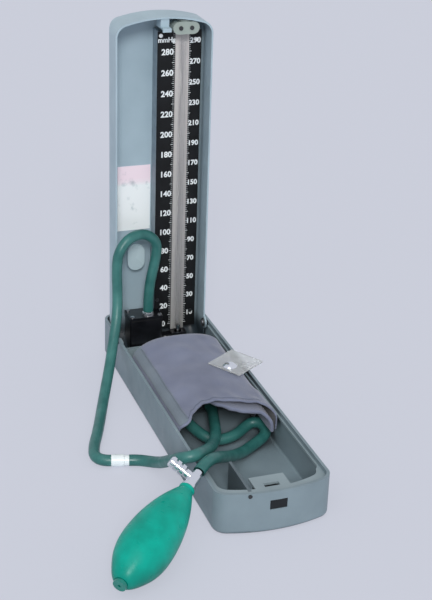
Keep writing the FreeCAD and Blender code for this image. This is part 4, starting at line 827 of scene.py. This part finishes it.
def dress_cloth(name, shape, finish, thickness, inner=None):
    """Gives a sheet of cloth its thickness in millimetres, and maybe a finish inside."""
    mesh = to_mesh(name, shape)
    cloth = show(name, mesh, finish, "base")
    wall = cloth.modifiers.new("thickness", "SOLIDIFY")
    wall.thickness = thickness * MM
    wall.offset = -1
    if inner:
        mesh.materials.append(inner)
        wall.material_offset = 1
    smooth = cloth.modifiers.new("soft", "SUBSURF")
    smooth.levels = smooth.render_levels = 1
    return cloth


def make_cuff(finishes):
    """The folded cuff: outer cloth, the lining that shows in its mouth, binding and stitches."""
    outer = dress_cloth("cuff_cloth", lay_cloth(CUFF_SECTION, drape, 84, 72),
                        finishes["cloth"], 2.0, finishes["inner"])
    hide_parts("cuff_cover")
    lining = dress_cloth("cuff_lining", lay_cloth(LINING_SECTION, drape_lining, 36, 24),
                         finishes["cloth"], 3.2)
    tape = dress_cloth("cuff_binding",
                       lay_cloth(CUFF_SECTION, drape, 5, 72, across=BINDING_ACROSS,
                                 along=BINDING_ALONG, lift=0.55),
                       finishes["tape"], 0.7)
    stitches = make_stitches(finishes)


def make_stitches(finishes):
    """Rows of short stitches: along the binding's inner edge and behind the mouth's edge."""
    path = evenly(CUFF_SECTION)

    def on_cuff(across, along):
        x, z = path[round(across * (PATH_STEPS - 1))]
        return Vector(drape(x, z, along))

    def row(start, end, step, count, lift, place):
        return [(place(start + i * step), place(end + i * step), lift) for i in range(count)]

    stitches = row(*SIDE_SEAM, lambda along: on_cuff(SIDE_SEAM_ACROSS, along))
    stitches += row(*MOUTH_SEAM, lambda across: on_cuff(across, MOUTH_SEAM_ALONG))
    shape = bmesh.new()
    for start, end, lift in stitches:
        made = bmesh.ops.create_uvsphere(shape, u_segments=6, v_segments=4, radius=0.5)
        bmesh.ops.scale(shape, vec=(STITCH_THICK, STITCH_THICK, STITCH_LONG),
                        verts=made["verts"])
        turn = (end - start).normalized().to_track_quat("Z", "Y").to_matrix()
        bmesh.ops.rotate(shape, cent=(0, 0, 0), matrix=turn, verts=made["verts"])
        middle = (start + end) / 2
        bmesh.ops.translate(shape, vec=mm(middle.x, middle.y, middle.z + lift),
                            verts=made["verts"])
    return show("cuff_stitches", shape, finishes["thread"], "base")


# ------------------------------------------------------------------ stage
BACKDROP = tone(203, 206, 218)
SKY = (0.96, 0.98, 1.0, 1)
SKY_STRENGTH = 0.52
TABLE_DROP = 0.0003
TABLE_EVENNESS = 0.7  # share of the backdrop's colour in what the camera sees of the table
LAMPS = (  # name, direction it shines from, angle across in degrees, strength
    ("key", (-230, -800, 560), 18, 1.6),
    ("fill", (-400, -500, 900), 40, 0.3),
)


def set_world():
    """An even sky that lights the object, behind a plain backdrop."""
    world = bpy.data.worlds.new("studio")
    scene.world = world
    world.use_nodes = True
    tree = world.node_tree
    sky = tree.nodes["Background"]
    sky.inputs["Color"].default_value = SKY
    sky.inputs["Strength"].default_value = SKY_STRENGTH
    backdrop = tree.nodes.new("ShaderNodeBackground")
    backdrop.inputs["Color"].default_value = BACKDROP
    rays = tree.nodes.new("ShaderNodeLightPath").outputs
    seen = rays["Is Camera Ray"]
    for ray in ("Is Transmission Ray", "Is Glossy Ray"):
        either = tree.nodes.new("ShaderNodeMath")
        either.operation = "MAXIMUM"
        tree.links.new(seen, either.inputs[0])
        tree.links.new(rays[ray], either.inputs[1])
        seen = either.outputs[0]
    mix = tree.nodes.new("ShaderNodeMixShader")
    tree.links.new(seen, mix.inputs["Fac"])
    tree.links.new(sky.outputs[0], mix.inputs[1])
    tree.links.new(backdrop.outputs[0], mix.inputs[2])
    tree.links.new(mix.outputs[0], tree.nodes["World Output"].inputs["Surface"])


def set_table():
    """A wide table that shows nearly as the backdrop does, and keeps the object's shadow."""
    plane = bmesh.new()
    bmesh.ops.create_grid(plane, x_segments=1, y_segments=1, size=6)
    table = bpy.data.objects.new("table", to_mesh("table", plane))
    table.location.z = -TABLE_DROP
    scene.collection.objects.link(table)
    made = Finish("table_top", tone(216, 219, 232), 0.9, Specular_IOR_Level=0.1)
    glow = made.node("ShaderNodeEmission", Color=BACKDROP)
    camera_ray = made.node("ShaderNodeLightPath").outputs["Is Camera Ray"]
    even = made.node("ShaderNodeMixShader")
    made.link(made.reckon("MULTIPLY", camera_ray, TABLE_EVENNESS), even.inputs["Fac"])
    made.link(made.shader.outputs[0], even.inputs[1])
    made.link(glow.outputs[0], even.inputs[2])
    made.link(even.outputs[0], made.tree.nodes["Material Output"].inputs["Surface"])
    table.data.materials.append(made.material)


def set_stage():
    set_world()
    set_table()
    for name, spot, angle, power in LAMPS:
        light = bpy.data.lights.new(name, "SUN")
        light.angle = math.radians(angle)
        light.energy = power
        lamp = bpy.data.objects.new(name, light)
        lamp.rotation_euler = (-Vector(spot)).to_track_quat("-Z", "Y").to_euler()
        scene.collection.objects.link(lamp)
    scene.view_settings.view_transform = "Standard"


# ------------------------------------------------------------------ assembly
set_camera()
finishes = make_finishes()
lay_hoses(finishes)
dress_nodes(finishes)
make_latch_spring(finishes)
make_bulb(finishes)
make_scale_figures(finishes)
make_cuff(finishes)
set_stage()
